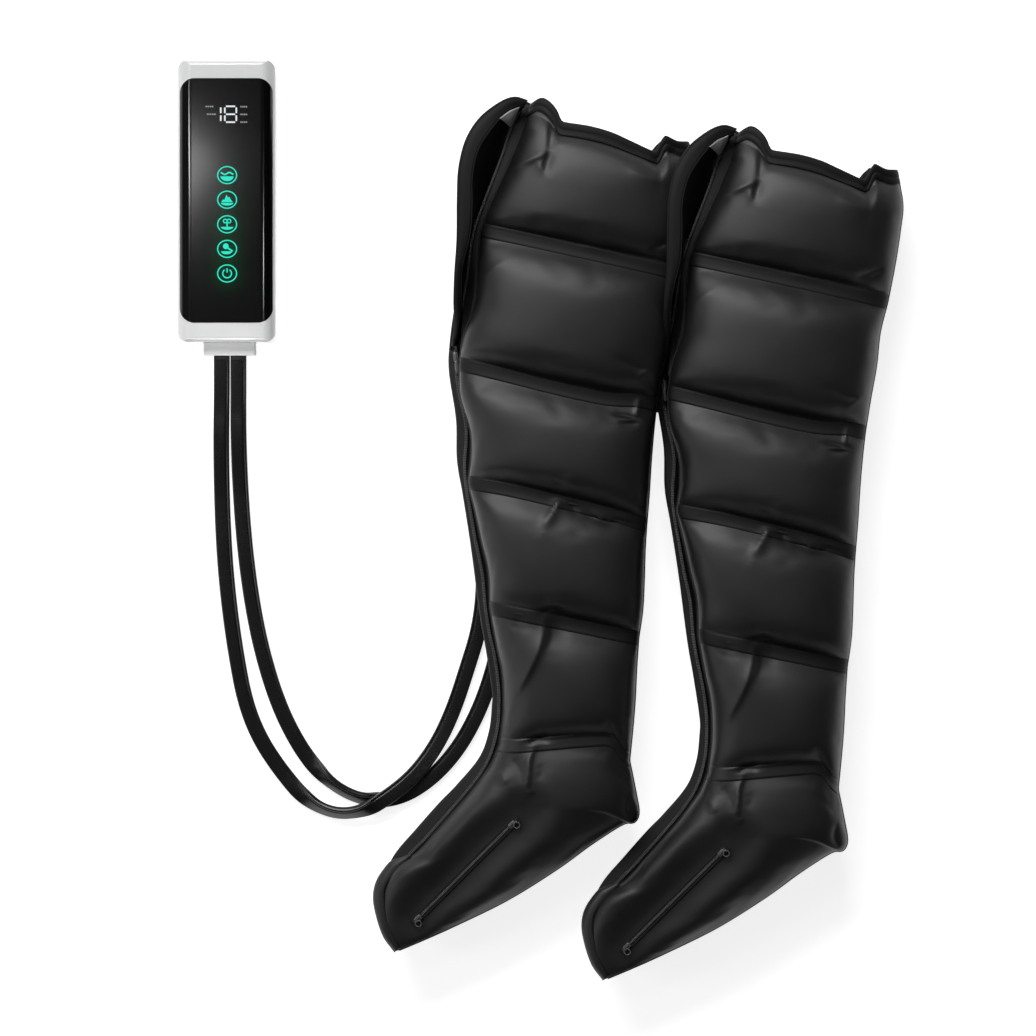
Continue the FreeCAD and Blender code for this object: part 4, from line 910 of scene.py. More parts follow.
TOP_EDGE = [(-9.4, 454.9), (0.6, 460.4), (9.4, 457.1), (18.2, 447.2), (23.7, 435.1),
            (29.2, 432.9), (55.6, 428.5), (78.7, 421.9), (98.5, 413.1), (120.5, 403.2),
            (127.1, 402.1), (133.7, 414.2), (138.1, 418.6), (151.2, 413.1), (163.4, 413.1)]
TOE_EDGE = [(-171.6, -407.6), (-170.0, -431.8), (-165.6, -451.6), (-154.0, -472.5)]
ANKLE_SEAM = [(-43.5, -247.0), (-27.0, -248.1), (-10.5, -247.0), (22.6, -243.7),
              (55.6, -240.9), (76.5, -241.5), (88.6, -255.8), (98.5, -264.6)]
KNEE_SEAM = [(-88.0, 170.4), (-32.5, 156.5), (17.0, 143.9), (72.0, 132.5), (107.3, 130.4),
             (128.2, 126.0)]
CALF_SEAM = [(-78.1, 40.2), (-30.0, 31.5), (19.5, 20.0), (70.0, 7.5), (117.2, -6.1)]
# Front edge of the half under the leg, from thigh to toe
FAR_EDGE = [(-29.0, 455.0), (-34.0, 420.0), (-43.0, 386.0), (-54.0, 350.0), (-70.0, 318.5),
            (-79.0, 282.0), (-87.0, 252.0), (-93.0, 230.5), (-98.0, 192.0), (-98.5, 162.2),
            (-90.8, 110.6), (-89.7, 65.5), (-83.1, 25.9), (-74.2, -31.4), (-65.0, -101.3),
            (-57.8, -143.6), (-51.2, -187.6), (-51.2, -205.2), (-54.7, -234.5),
            (-65.7, -263.5), (-91.2, -294.2), (-109.5, -313.0), (-134.8, -341.6),
            (-159.6, -371.3), (-176.0, -407.0)]
CROWN = {"thigh_high": 46, "thigh_low": 50, "knee": 47, "calf": 44, "ankle": 42, "foot": 36}
CROWN_LOW = {"thigh_high": 56, "thigh_low": 58, "knee": 56, "calf": 50, "ankle": 54, "foot": 52}
# Rise over the middle at the top edge, the five seams and the toe
SEAM_RISE = [28, 27, 27, 27, 25, 28, 5]
SEAM_DEPTH = [28, 30, 30, 30, 28, 27, 12]
# Seams that are shallow towards the front: extra rise, and where across the boot it ends
SHALLOW = {4: (10.0, 0.24, 0.5), 5: (7.0, 0.06, 0.36)}
UPPER_Z = 69.0
LOWER_Z = 45.0
BAND = 8.0  # half a welded seam
SKIN = 1.2  # least distance between a cell's two faces
BLOW_CAP = 7.0
BLOW_FRAMES = 20
# Edges that bow between a cell's corners: at its upper and at its lower end
EDGE_BOWS = {"thigh_high": (TOP_EDGE, None), "thigh_low": (None, KNEE_SEAM),
             "knee": (KNEE_SEAM, CALF_SEAM), "calf": (CALF_SEAM, None),
             "ankle": (None, ANKLE_SEAM), "foot": (ANKLE_SEAM, TOE_EDGE)}
# How far from a seam the cloth takes to rise below it, and to fall above the next one
RISE_REACH = {"thigh_high": 20.0, "foot": 40.0}
PLAIN_RISE_REACH = 22.0
FALL_REACH = 8.5
HEM_CLEAR = 15.0  # flat cloth under the thigh's hem
CELL_GRID = (96, 84)
FOOT_GRID = (120, 96)
SIDE_SAMPLES = 400
BOW_SAMPLES = 300

# Folds of the cloth: cell, line in plan, rise (or fall), reach to its left and to its right
FOLDS = [
    ("thigh_high", [(-9.0, 452.0), (-12.5, 438.0), (-16.0, 424.0)], 2.4, 9.0, 3.0),
    ("thigh_high", [(-36.0, 385.5), (-14.0, 391.0), (9.0, 401.0)], 3.6, 12.0, 3.5),
    ("thigh_high", [(11.0, 404.0), (8.2, 390.0), (2.0, 374.0)], -2.8, 5.0, 3.0),
    ("thigh_high", [(0.0, 393.0), (2.0, 383.0), (6.0, 374.0)], 2.2, 4.0, 4.0),
    ("thigh_high", [(12.6, 434.0), (12.0, 420.0), (10.5, 403.0)], -3.2, 6.0, 2.5),
    ("thigh_high", [(-26.0, 428.0), (-19.0, 424.0), (-6.0, 425.0)], -1.6, 4.0, 5.0),
    ("thigh_high", [(120.0, 392.0), (134.0, 395.0), (150.0, 406.0)], -3.0, 4.0, 9.0),
    ("thigh_high", [(96.0, 384.0), (118.0, 372.0), (142.0, 366.0)], 1.6, 12.0, 8.0),
    ("thigh_high", [(46.0, 300.0), (66.0, 299.0), (84.0, 294.0)], 1.5, 5.0, 4.0),
    ("thigh_high", [(118.0, 296.0), (134.0, 300.0), (146.0, 306.0)], -3.0, 6.0, 4.0),
    ("thigh_low", [(84.0, 176.0), (108.0, 165.0), (126.0, 164.0)], -2.2, 6.0, 3.0),
    ("thigh_low", [(107.8, 152.0), (112.0, 158.0), (124.0, 166.0)], 2.2, 4.0, 5.0),
    ("thigh_low", [(-66.0, 262.0), (-54.0, 272.0), (-36.0, 284.0)], 1.5, 5.0, 9.0),
    ("knee", [(108.5, 133.0), (107.2, 124.0), (105.5, 112.0)], 3.0, 5.0, 2.5),
    ("knee", [(80.0, 116.0), (97.0, 112.6), (111.0, 108.0)], -3.4, 3.5, 2.2),
    ("knee", [(88.0, 106.0), (98.0, 105.0), (109.0, 105.4)], -3.0, 2.6, 3.6),
    ("knee", [(92.0, 110.0), (100.0, 109.0), (108.0, 107.0)], 1.4, 2.0, 2.0),
    ("knee", [(12.0, 42.0), (20.0, 40.5), (29.0, 34.5)], -2.6, 3.0, 6.0),
    ("knee", [(30.0, 50.0), (32.0, 42.0), (36.0, 36.0)], 1.2, 6.0, 6.0),
    ("calf", [(25.5, 31.0), (18.7, 17.2), (3.5, -8.5)], 4.4, 9.0, 3.6),
    ("calf", [(29.0, 28.0), (34.0, 21.0), (41.0, 6.5)], -3.2, 3.0, 4.5),
    ("calf", [(41.5, 7.5), (58.0, 2.6), (75.0, -3.5), (88.0, -0.6), (103.0, -6.8),
              (114.0, -14.0)], -2.6, 2.4, 5.5),
    ("calf", [(58.0, 9.0), (66.0, 2.0), (72.0, 6.0)], 1.6, 4.0, 3.0),
    ("calf", [(84.0, 8.0), (90.0, 1.5), (99.0, 0.0)], 1.4, 4.0, 3.0),
    ("calf", [(2.5, -104.5), (4.7, -100.0), (14.2, -98.0), (25.0, -102.0)], -2.8, 4.0, 2.4),
    ("calf", [(6.0, -92.0), (16.0, -91.0), (28.0, -95.0)], 1.6, 7.0, 4.0),
    ("ankle", [(5.2, -110.0), (3.7, -128.7), (-6.8, -156.1), (-22.5, -187.0)], 3.4, 3.2, 7.0),
    ("ankle", [(12.0, -112.0), (12.0, -124.0), (8.0, -140.0)], -1.4, 9.0, 3.0),
    ("ankle", [(-20.0, -104.0), (-26.0, -120.0), (-32.0, -142.0)], -1.8, 7.0, 9.0),
    ("ankle", [(73.0, -216.0), (78.0, -230.0), (82.0, -239.0)], -2.6, 5.0, 5.0),
    ("ankle", [(12.0, -243.0), (0.0, -240.5), (-8.0, -244.0), (-12.0, -250.0)], -3.6, 3.0, 5.5),
    ("foot", [(-6.0, -250.0), (-11.0, -263.3), (-12.1, -276.0), (-14.0, -298.0)], 3.0, 2.4, 5.0),
    ("foot", [(-2.0, -268.0), (2.0, -276.0), (-3.0, -284.0)], -1.0, 7.0, 4.0),
    ("foot", [(-44.0, -274.0), (-40.5, -284.0), (-37.0, -290.0)], 2.0, 7.0, 4.0),
    ("foot", [(-30.0, -262.0), (-22.0, -272.0), (-18.0, -290.0)], -1.8, 5.0, 7.0),
    ("foot", [(-12.5, -296.5), (-11.0, -298.0), (-9.0, -299.5)], 2.4, 3.0, 3.0),
    ("foot", [(4.0, -318.0), (14.0, -330.0), (22.0, -344.0)], 1.2, 9.0, 7.0),
    ("foot", [(96.0, -302.0), (94.0, -318.0), (100.0, -328.0)], -3.2, 6.0, 4.0),
]
FOOT_ZIP_TOP = np.array([-24.0, -327.0, 99.0])
FOOT_ZIP_END = np.array([-139.0, -443.0, 78.0])
FOOT_ZIP = np.array([FOOT_ZIP_TOP, FOOT_ZIP_END])
SHELLS = {}  # grids of the half cells already worked out


def cell_plan(name, rows, cols, upper):
    """Plan points of one cell's grid.

    Both long sides are smooth lines through the rungs. Points between are a straight mix of
    the two sides, plus the bow of the top and bottom edges, which fades along the cell. The
    half under the leg starts at the far edge instead. Rows crowd towards the seams.
    """
    rungs = np.array(CELL_RUNGS[name])
    if not upper:
        far = even_line(FAR_EDGE, 900)
        rungs = np.stack([far[nearest(far, rungs[:, 0])], rungs[:, 1]], 1)
    t = np.linspace(0, 1, rows)
    steps = 0.55 * t + 0.45 * (1 - np.cos(np.pi * t)) / 2
    sides = []
    for ends in (rungs[:, 0], rungs[:, 1]):
        line = smooth_line(ends, SIDE_SAMPLES)
        place = np.interp(steps, np.linspace(0, 1, len(ends)), nearest(line, ends))
        sides.append(read_at(place, np.arange(SIDE_SAMPLES), line)[:, None])
    turn = np.linspace(0, np.pi, cols)
    share = (1 - np.cos(turn)) / 2
    plan = sides[0] * (1 - share[None, :, None]) + sides[1] * share[None, :, None]
    for bow, fade in zip(EDGE_BOWS[name], (1 - steps, steps)):
        if bow is None:
            continue
        line = smooth_line(bow, BOW_SAMPLES)
        chord = line[-1] - line[0]
        along = (line - line[0]) @ chord / (chord @ chord)
        along = np.maximum.accumulate(along + np.arange(BOW_SAMPLES) * 1e-9)
        off = line - line[0] - along[:, None] * chord
        plan += (fade**2.2)[:, None, None] * read_at(share, along, off)[None]
    return plan, steps, share, turn


def seam_rise(place, share, upper):
    """Height of one seam over its own chord, across the boot, before the oval is applied."""
    height = np.full(len(share), float((SEAM_RISE if upper else SEAM_DEPTH)[place]))
    if upper and place in SHALLOW:
        extra, start, end = SHALLOW[place]
        height += extra * (1 - ramp(share, start, end))
    return height


def cell_heights(name, plan, steps, share, turn, upper):
    """Height of the outer face and of the inner face over the seat.

    The outer face is a flat oval across the boot times a rise that goes from the seams'
    own to the crown's: one minus a decaying exponential of the distance to each seam, slow
    below the upper seam, where it starts as a square, and quick above the lower one, with a
    flat welded band on each seam.
    The inner face is one skin inside the outer one at the seams and sinks to the seat
    between them.
    """
    order = CELL_ORDER.index(name)
    span = np.linalg.norm(plan[-1] - plan[0], axis=1).mean()
    down = steps * span
    up = (1 - steps) * span
    eased = np.where(down < 2 * BAND, down**2 / (4 * BAND), down - BAND)
    if name == "thigh_high":
        eased = np.maximum(down - HEM_CLEAR, 0)
    near_top = 1 - np.exp(-eased / RISE_REACH.get(name, PLAIN_RISE_REACH))
    near_low = 1 - np.exp(-np.maximum(up - BAND, 0) / FALL_REACH)
    if name == "foot":
        near_low = np.clip(up / span, 0, 1) ** 0.62
    swell = near_top * near_low
    swell = (swell / swell.max())[:, None]
    top = seam_rise(order, share, upper)[None]
    low = seam_rise(order + 1, share, upper)[None]
    seam = top + (low - top) * steps[:, None] ** (1.6 if name == "foot" else 1.0)
    flat_oval = np.abs(np.sin(turn))[None] ** (0.64 if upper else 0.86)
    crown = (CROWN if upper else CROWN_LOW)[name]
    wave = (np.sin(share * 9.0 + order * 2.1)[None] * np.sin(steps * 7.0 + order)[:, None]
            + 0.6 * np.sin(share * 17.0 + order)[None] * np.sin(steps * 13.0)[:, None])
    outer = flat_oval * (seam + (crown - seam) * swell + wave * swell * 0.2)
    inner = flat_oval * np.maximum(seam * (1 - swell) ** 1.5 - SKIN, 0)
    return outer, inner


def fold_heights(name, plan, outer):
    """Adds each fold: a rise that falls off with the distance to its line, unlike by side."""
    flat = plan.reshape(-1, 2)
    total = np.zeros(len(flat))
    for cell, line, lift, left, right in FOLDS:
        if cell != name:
            continue
        gap, along, side = line_distance(flat, smooth_line(line, 20))
        fade = np.sin(np.pi * np.clip(along, 0.02, 0.98)) ** 0.5
        total += lift * fade * np.exp(-(gap / np.where(side > 0, left, right)) ** 1.25)
    return outer + total.reshape(outer.shape) * np.clip(outer / 14.0, 0, 1)


def foot_zip_bed(plan, outer):
    """Draws the foot's outer face to the straight zip's own line, a little lower in front."""
    gap, along, side = line_distance(plan.reshape(-1, 2), FOOT_ZIP[:, :2])
    level = FOOT_ZIP_TOP[2] + (FOOT_ZIP_END[2] - FOOT_ZIP_TOP[2]) * along - UPPER_Z - 0.2
    beside = ramp(along, 0.0, 0.2) * (1 - ramp(along, 0.8, 1.0))
    level += side * np.clip(gap - 3.5, 0, 36.0) * 0.085 * beside
    pull = 1 - ramp(gap, 7.0, 48.0)
    flat = outer.reshape(-1)
    return (flat + (level - flat) * pull).reshape(outer.shape)


def puffed(name, plan, outer, steps, upper):
    """Blows up one outer face as cloth: seams and edges held, air pressure, no gravity.

    The cloth is a coarser copy of the face, a little longer than its place, so that it
    puckers along the held seams. How far each point moved, capped, is spread back over the
    fine grid. Gives the new plan and heights.
    """
    rows, cols = outer.shape
    take_rows = np.unique(np.linspace(0, rows - 1, 60 if upper else 36).round().astype(int))
    take_cols = np.unique(np.linspace(0, cols - 1, 52 if upper else 32).round().astype(int))
    sign = 1.0 if upper else -1.0
    face = np.dstack([plan, outer * sign])[np.ix_(take_rows, take_cols)]
    span = np.linalg.norm(plan[-1] - plan[0], axis=1).mean()
    seam_gap = np.minimum(steps, 1 - steps)[take_rows] * span
    held = np.zeros(face.shape[:2], bool)
    held[seam_gap < BAND + 1.0] = True
    held[:, [0, 1, -2, -1]] = True
    if upper and name == "foot":
        gap = line_distance(face[..., :2].reshape(-1, 2), FOOT_ZIP[:, :2])[0]
        held |= gap.reshape(held.shape) < 9.0
    quads = grid_quads(*face.shape[:2])
    mesh = bpy.data.meshes.new("blown_face")
    mesh.from_pydata((face.reshape(-1, 3) * MM).tolist(), [],
                     (quads[:, ::-1] if upper else quads).tolist())
    cloth_piece = bpy.data.objects.new("blown_face", mesh)
    scene = bpy.context.scene
    scene.collection.objects.link(cloth_piece)
    group = cloth_piece.vertex_groups.new(name="held")
    group.add(np.flatnonzero(held.ravel()).tolist(), 1.0, "REPLACE")
    cloth = cloth_piece.modifiers.new("air", "CLOTH").settings
    cloth.quality = 6
    cloth.mass = 0.25
    cloth.tension_stiffness = 12.0
    cloth.compression_stiffness = 12.0
    cloth.shear_stiffness = 4.0
    cloth.bending_stiffness = 0.35
    cloth.shrink_min = -0.004
    cloth.vertex_group_mass = group.name
    cloth.effector_weights.gravity = 0.0
    cloth.use_pressure = True
    cloth.uniform_pressure_force = 4.0
    for step in range(1, BLOW_FRAMES + 1):
        scene.frame_set(step)
    moved = cloth_piece.evaluated_get(bpy.context.evaluated_depsgraph_get()).to_mesh()
    where = np.zeros(len(moved.vertices) * 3)
    moved.vertices.foreach_get("co", where)
    shift = where.reshape(face.shape) / MM - face
    bpy.data.objects.remove(cloth_piece)
    bpy.data.meshes.remove(mesh)
    scene.frame_set(1)
    far = np.linalg.norm(shift, axis=2, keepdims=True)
    shift *= np.minimum(1.0, BLOW_CAP / np.maximum(far, 1e-6))
    tall = np.stack([[np.interp(np.arange(rows), take_rows, shift[:, j, a])
                      for j in range(shift.shape[1])] for a in range(3)], 2)
    full = np.stack([[np.interp(np.arange(cols), take_cols, tall[:, i, a])
                      for i in range(rows)] for a in range(3)], 2)
    for _ in range(4):
        full[1:-1] = (full[:-2] + full[1:-1] * 2 + full[2:]) / 4
        full[:, 1:-1] = (full[:, :-2] + full[:, 1:-1] * 2 + full[:, 2:]) / 4
    return plan + full[..., :2], outer + full[..., 2] * sign


def cell_shell(name, upper):
    """Outer and inner grids of half an air cell, in millimetres."""
    key = (name, upper)
    if key not in SHELLS:
        rows, cols = FOOT_GRID if name == "foot" else CELL_GRID
        if not upper:
            rows, cols = rows // 2, cols // 2
        plan, steps, share, turn = cell_plan(name, rows, cols, upper)
        outer, inner = cell_heights(name, plan, steps, share, turn, upper)
        plan, outer = puffed(name, plan, outer, steps, upper)
        if upper:
            outer = fold_heights(name, plan, outer)
            if name == "foot":
                outer = foot_zip_bed(plan, outer)
            outer = np.maximum(outer, 0)
            inner = np.minimum(inner, np.maximum(outer - SKIN, 0))
            outer_z = UPPER_Z + outer
            inner_z = UPPER_Z + inner
        else:
            gap = LOWER_Z - outer
            outer_z = np.where(gap > 4, gap, 4 * np.exp((gap - 4) / 4)) + 0.1
            inner_z = np.maximum(LOWER_Z - inner, np.minimum(outer_z + SKIN, LOWER_Z))
        SHELLS[key] = (np.dstack([plan, outer_z]), np.dstack([plan, inner_z]))
    return SHELLS[key]


def shell_faces(rows, cols):
    """Faces of a tube of flat rings, closed at both ends by quads across the ring."""
    faces = grid_quads(rows, cols, False, True)[:, ::-1].tolist()
    faces += end_fan(list(range(cols)), True)
    return faces + end_fan([(rows - 1) * cols + k for k in range(cols)], False)


def close_shell(outside, inside, flip=False):
    """Points and quads of a shell between two grids that share their two long sides."""
    ring = np.concatenate([outside, inside[:, -2:0:-1]], axis=1)
    faces = shell_faces(*ring.shape[:2])
    if flip:
        faces = [face[::-1] for face in faces]
    return ring.reshape(-1, 3), faces


def end_fan(ring, flip):
    """Quads across a flat ring of points, each pair joined to the pair that faces it."""
    count = len(ring)
    faces = []
    for k in range(count // 2):
        quad = list(dict.fromkeys([ring[k], ring[k + 1], ring[(count - k - 1) % count],
                                   ring[(count - k) % count]]))
        if len(quad) > 2:
            faces.append(quad if flip else quad[::-1])
    return faces


def grid_normals(grid):
    """Unit normals of a grid of points, from its two directions."""
    return unit(np.cross(np.gradient(grid, axis=0), np.gradient(grid, axis=1)))


def thick_grid(grid, thick, taper=0.25):
    """Closed sheet of cloth about a grid of points, thinner at its two long sides."""
    normal = grid_normals(grid)
    share = np.linspace(0, 1, grid.shape[1])
    full = thick / 2 * (taper + (1 - taper) * np.clip(np.sin(np.pi * share) * 4, 0, 1))
    off = normal * full[None, :, None]
    ring = np.concatenate([grid + off, (grid - off)[:, ::-1]], axis=1)
    return ring.reshape(-1, 3), shell_faces(*ring.shape[:2])


def spread(rows_of_points, count, rows=None):
    """Grid through section lines: each section sampled evenly, then smoothed along."""
    sections = np.array([smooth_line(row, count) for row in rows_of_points])
    if rows is None:
        return sections
    return np.stack([smooth_line(sections[:, k], rows) for k in range(count)], 1)


def at_reach(grid, run, reach):
    """One point of each column of a grid, where the length run down the column is reach."""
    return np.stack([read_at([reach], run[:, j], grid[:, j])[0] for j in range(run.shape[1])])


def boot_pair(name, shape, material, replaces=(), body="boots"):
    """The same piece on both boots; body and nodes are named without their side."""
    points, faces = shape
    made = []
    for side, place in SIDES.items():
        riding = body if body == "boots" else side + body
        nodes = [side + node for node in replaces]
        made.append(add_piece(side + name, (np.asarray(points) + place, faces),
                              MATERIALS[material], riding, nodes))
    return made


class BOOT_OT_cells(bpy.types.Operator):
    """Build the padded air cells of both boots"""
    bl_idname = "boots.cells"
    bl_label = "Air cells"

    def execute(self, context):
        sizes = context.scene.boots_boot
        MATERIALS.update({
            "fabric": coated_fabric("coated_fabric", tuple(sizes.fabric), sizes.gloss),
            # Seam cloth: a darker, duller copy of the coated fabric, painted shade of the welded
            # valleys between the cells.
            "seam": coated_fabric("seam_painted_shade_fabric", (0.0036, 0.0036, 0.0038), 0.6, 0.34),
            # Hem cloth: a darker, duller copy of the coated fabric, painted shade that keeps the
            # hems dark where the lamps light them.
            "hem": coated_fabric("hem_painted_shade_fabric", (0.0032, 0.0032, 0.0035), 0.6, 0.26),
            "lining": woven_tape("lining_cloth", (0.0024, 0.0024, 0.0026), 0.0, 0.15),
            "binding": woven_tape("binding_tape", tuple(sizes.binding)),
            "coil": moulded("coil_plastic", (0.15, 0.15, 0.155), 0.3),
            "zip_metal": moulded("slider_enamel", (0.11, 0.11, 0.115), 0.25, 0.00001, 0.3),
            "tab": coated_fabric("pale_tab", (0.55, 0.56, 0.56), 0.4),
        })
        for name in CELL_ORDER:
            halves = join_grids([close_shell(*cell_shell(name, True)),
                                 close_shell(*cell_shell(name, False), flip=True)])
            for pad in boot_pair(name + "_cell_pad", halves, "fabric",
                                 (name + "_cell",)):
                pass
        bands = {(place, upper): seam_strip(place, upper)
                 for place in range(1, len(CELL_ORDER)) for upper in (True, False)}
        ankle = bands.pop((CELL_ORDER.index("foot"), True))
        # The seam bands wear the darker seam cloth, which paints the shade in the valleys; the
        # ankle band keeps the plain fabric.
        boot_pair("seam_bands", join_grids(bands.values()), "seam")
        boot_pair("ankle_seam_band", ankle, "fabric")
        return {"FINISHED"}


def seam_strip(place, upper):
    """Welded band over one seam: a thin strip that follows the ends of both cells."""
    above = cell_shell(CELL_ORDER[place - 1], upper)[0][::-1]
    below = cell_shell(CELL_ORDER[place], upper)[0]
    lines = []
    for grid, reaches in ((above, (8.2, 5.4, 2.6)), (below, (0.0, 2.6, 5.4, 8.2))):
        run = run_along(grid)
        for reach in reaches:
            line = at_reach(grid, run, reach)
            lines.append(read_at(np.linspace(0, 1, 120), np.linspace(0, 1, len(line)), line))
    grid = np.stack(lines, 1)[3:-3]
    normal = grid_normals(grid)
    if normal[60, 3, 2] * (1 if upper else -1) < 0:
        normal = -normal
    return thick_grid(grid + normal * 0.04, 0.3, 0.04)


def edge_line(upper, last_column):
    """One long side of all six cells, from thigh to toe."""
    column = -1 if last_column else 0
    runs = [cell_shell(name, upper)[0][:, column] for name in CELL_ORDER]
    return np.vstack([run[:-1] for run in runs[:-1]] + [runs[-1]])


def hem_band(outside, inside, width, thick):
    """Folded band round the top edge of a half: over the outer face, the edge and the inner.

    Each station of its section is a reach from the edge, a lift off the face and the face
    that it lies on; a reach below 0 stands out past the edge.
    """
    runs = run_along(outside)
    out_normal = grid_normals(outside)
    if out_normal[3, outside.shape[1] // 2, 2] * (outside[3, 5, 2] - inside[3, 5, 2]) < 0:
        out_normal = -out_normal
    edge = unit(outside[0] - outside[4])
    stations = [(width, 0.3, outside), (width - 0.6, thick, outside),
                (width * 0.75, thick, outside), (width / 2 + 0.8, thick, outside),
                (width / 2, thick - 0.5, outside), (width / 2 - 0.8, thick, outside),
                (width * 0.25, thick, outside), (1.0, thick, outside),
                (-1.2, thick * 0.6, outside), (-1.8, 0.0, outside),
                (-1.2, -thick * 0.6, inside), (1.0, -thick, inside),
                (width * 0.5, -thick, inside), (width * 0.9, -thick * 0.8, inside)]
    lines = []
    for reach, lift, face in stations:
        at = max(reach, 0)
        lines.append(at_reach(face, runs, at) + unit(at_reach(out_normal, runs, at)) * lift
                     - edge * min(reach, 0))
    rings = np.stack(lines, 1)
    return rings, tube_faces(*rings.shape[:2])


HEM_WIDTH = 14.5
HEM_THICK = 1.5
# Turned-out flap: root and lip in plan, the lip's height and how wide it lies open
FLAP_ROWS = [
    ((-29.4, 431.0), (-14.0, 458.0), 84.0, 6.0), ((-31.0, 425.0), (-28.0, 461.0), 90.0, 9.0),
    ((-34.0, 416.0), (-44.0, 454.5), 95.0, 13.0), ((-37.0, 405.0), (-65.0, 437.5), 100.0, 16.0),
    ((-44.0, 381.0), (-79.5, 414.0), 104.0, 16.0), ((-52.0, 358.0), (-87.0, 384.0), 106.0, 16.0),
    ((-60.5, 338.0), (-88.6, 351.0), 106.5, 15.5), ((-69.0, 317.5), (-89.0, 307.0), 105.0, 13.5),
    ((-75.0, 291.0), (-91.5, 268.0), 100.0, 10.0), ((-79.0, 250.0), (-92.5, 240.0), 89.0, 6.5),
    ((-84.0, 215.0), (-92.0, 214.0), 72.0, 4.0), ((-90.0, 192.0), (-95.0, 191.0), 58.0, 2.5),
]
FLAP_ROOT_Z = 45.6
FLAP_THICK = 2.2
FLAP_HEM_COLUMNS = 12
# The front zip's coil in plan, from thigh to toe
COIL = [(-17.1, 458.2), (-25.0, 443.0), (-32.9, 425.2), (-41.7, 399.0), (-50.5, 376.0),
        (-64.0, 340.9), (-72.1, 317.4), (-76.5, 292.0), (-80.5, 262.0), (-84.2, 240.7),
        (-88.8, 216.0), (-91.9, 190.0), (-92.4, 176.0), (-91.4, 157.9), (-87.6, 134.0),
        (-81.6, 107.5), (-80.6, 88.0), (-82.4, 66.0), (-81.6, 42.4), (-75.6, 6.6),
        (-70.0, -26.0), (-63.0, -60.0), (-59.8, -96.0), (-55.2, -124.9), (-50.4, -146.0),
        (-46.4, -172.0), (-44.6, -198.0), (-46.8, -232.0), (-56.2, -264.0), (-72.0, -289.0),
        (-96.7, -318.5), (-109.5, -332.8), (-127.1, -352.6), (-143.6, -369.1),
        (-160.0, -388.0)]


class BOOT_OT_thigh(bpy.types.Operator):
    """Build the thigh hem, the turned-out flap with its lining, and the folded tab"""
    bl_idname = "boots.thigh"
    bl_label = "Thigh opening"

    def execute(self, context):
        near, near_faces = hem_band(*cell_shell("thigh_high", True), HEM_WIDTH, HEM_THICK)
        far, far_faces = hem_band(*cell_shell("thigh_high", False), HEM_WIDTH, HEM_THICK)
        far_faces = [face[::-1] for face in far_faces]
        # The thigh hem wears the darker hem cloth: painted shade.
        boot_pair("thigh_hem_band", join_grids([(near, near_faces), (far, far_faces)]), "hem",
                  ("thigh_hem",))
        seams = [stitch_row(even_line(band[2:-2, place], 160), up, 3.2, 2.3, 0.32)
                 for band, place, up in ((near, 4, UP), (near, 1, UP), (far, 4, (0.0, 0.0, -1.0)))]
        boot_pair("thigh_hem_stitches", join_grids(seams), "binding")
        self.flap()
        tab = [[(-21.5, 451.8, 92.0), (-26.0, 441.5, 84.0), (-31.0, 431.5, 74.0)],
               [(-33.0, 446.5, 100.0), (-31.0, 438.0, 90.0), (-31.8, 431.2, 75.0)],
               [(-43.5, 438.5, 101.0), (-37.5, 434.5, 90.0), (-32.4, 430.8, 75.0)]]
        boot_pair("folded_tab", thick_grid(spread(tab, 14, 16), 0.5), "tab")
        return {"FINISHED"}

    def flap(self):
        """Far side of the thigh: up from the lower half, then out, with a wide hem."""
        rows = []
        coil = smooth_line(COIL, 500)
        for root, lip, lip_z, wide in FLAP_ROWS:
            root = np.array([*root, FLAP_ROOT_Z])
            lip = np.array([*lip, lip_z])
            away = unit((lip - root) * PLAN)
            middle = coil[nearest(coil, [(root + lip)[:2] / 2])[0]]
            knee = np.array([*middle, 62.0]) + away * 3.0
            fold = lip - away * wide + (0, 0, 1.8)
            high = (knee + fold) / 2 + (0, 0, 5.0)
            over = lip - away * wide * 0.4 + (0, 0, 1.6)
            rows.append(np.vstack([smooth_line([root, knee, high, fold], 24)[:-1],
                                   smooth_line([fold, over, lip], 12)]))
        rows = np.array(rows)
        grid = np.stack([smooth_line(rows[:, k], 120) for k in range(rows.shape[1])], 1)
        for flap in boot_pair("thigh_flap_sheet", thick_grid(grid, FLAP_THICK), "lining",
                              ("thigh_flap",)):
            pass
        normal = grid_normals(grid)
        if normal[60, -1, 2] < 0:
            normal = -normal
        hem = grid[:, -FLAP_HEM_COLUMNS:]
        normal = unit(normal[:, -FLAP_HEM_COLUMNS:] * (0.4, 0.4, 1.0))
        lifted = hem + normal * 1.7
        parts = [thick_grid(lifted, 1.4, 0.6),
                 sweep(hem[:, -1] + normal[:, -1] * 0.7, oval(1.9, 1.9, 10)),
                 sweep(lifted[:, 0], oval(0.9, 0.9, 8))]
        # The flap's hem wears the darker hem cloth: painted shade.
        boot_pair("thigh_flap_hem", join_grids(parts), "hem")


SLIDER_ROOM = 4.4  # from the coil to the wall beside it, where the front slider passes
ZIP_OPEN_Y = 186.0  # above this the front zip is open
EDGE_SAMPLES = 1400
TAPE_THICK = 1.0


def zip_lines():
    """The coil in space, and the near panel's front edge beside it."""
    coil = smooth_line(COIL, 700)
    level = 48.9 + 18.6 * ramp(coil[:, 1], 196.0, 300.0)
    coil = np.hstack([coil, level[:, None]])
    edge = even_line(edge_line(True, False), EDGE_SAMPLES)
    return coil, edge[np.maximum.accumulate(nearest(edge[:, :2], coil[:, :2]))]


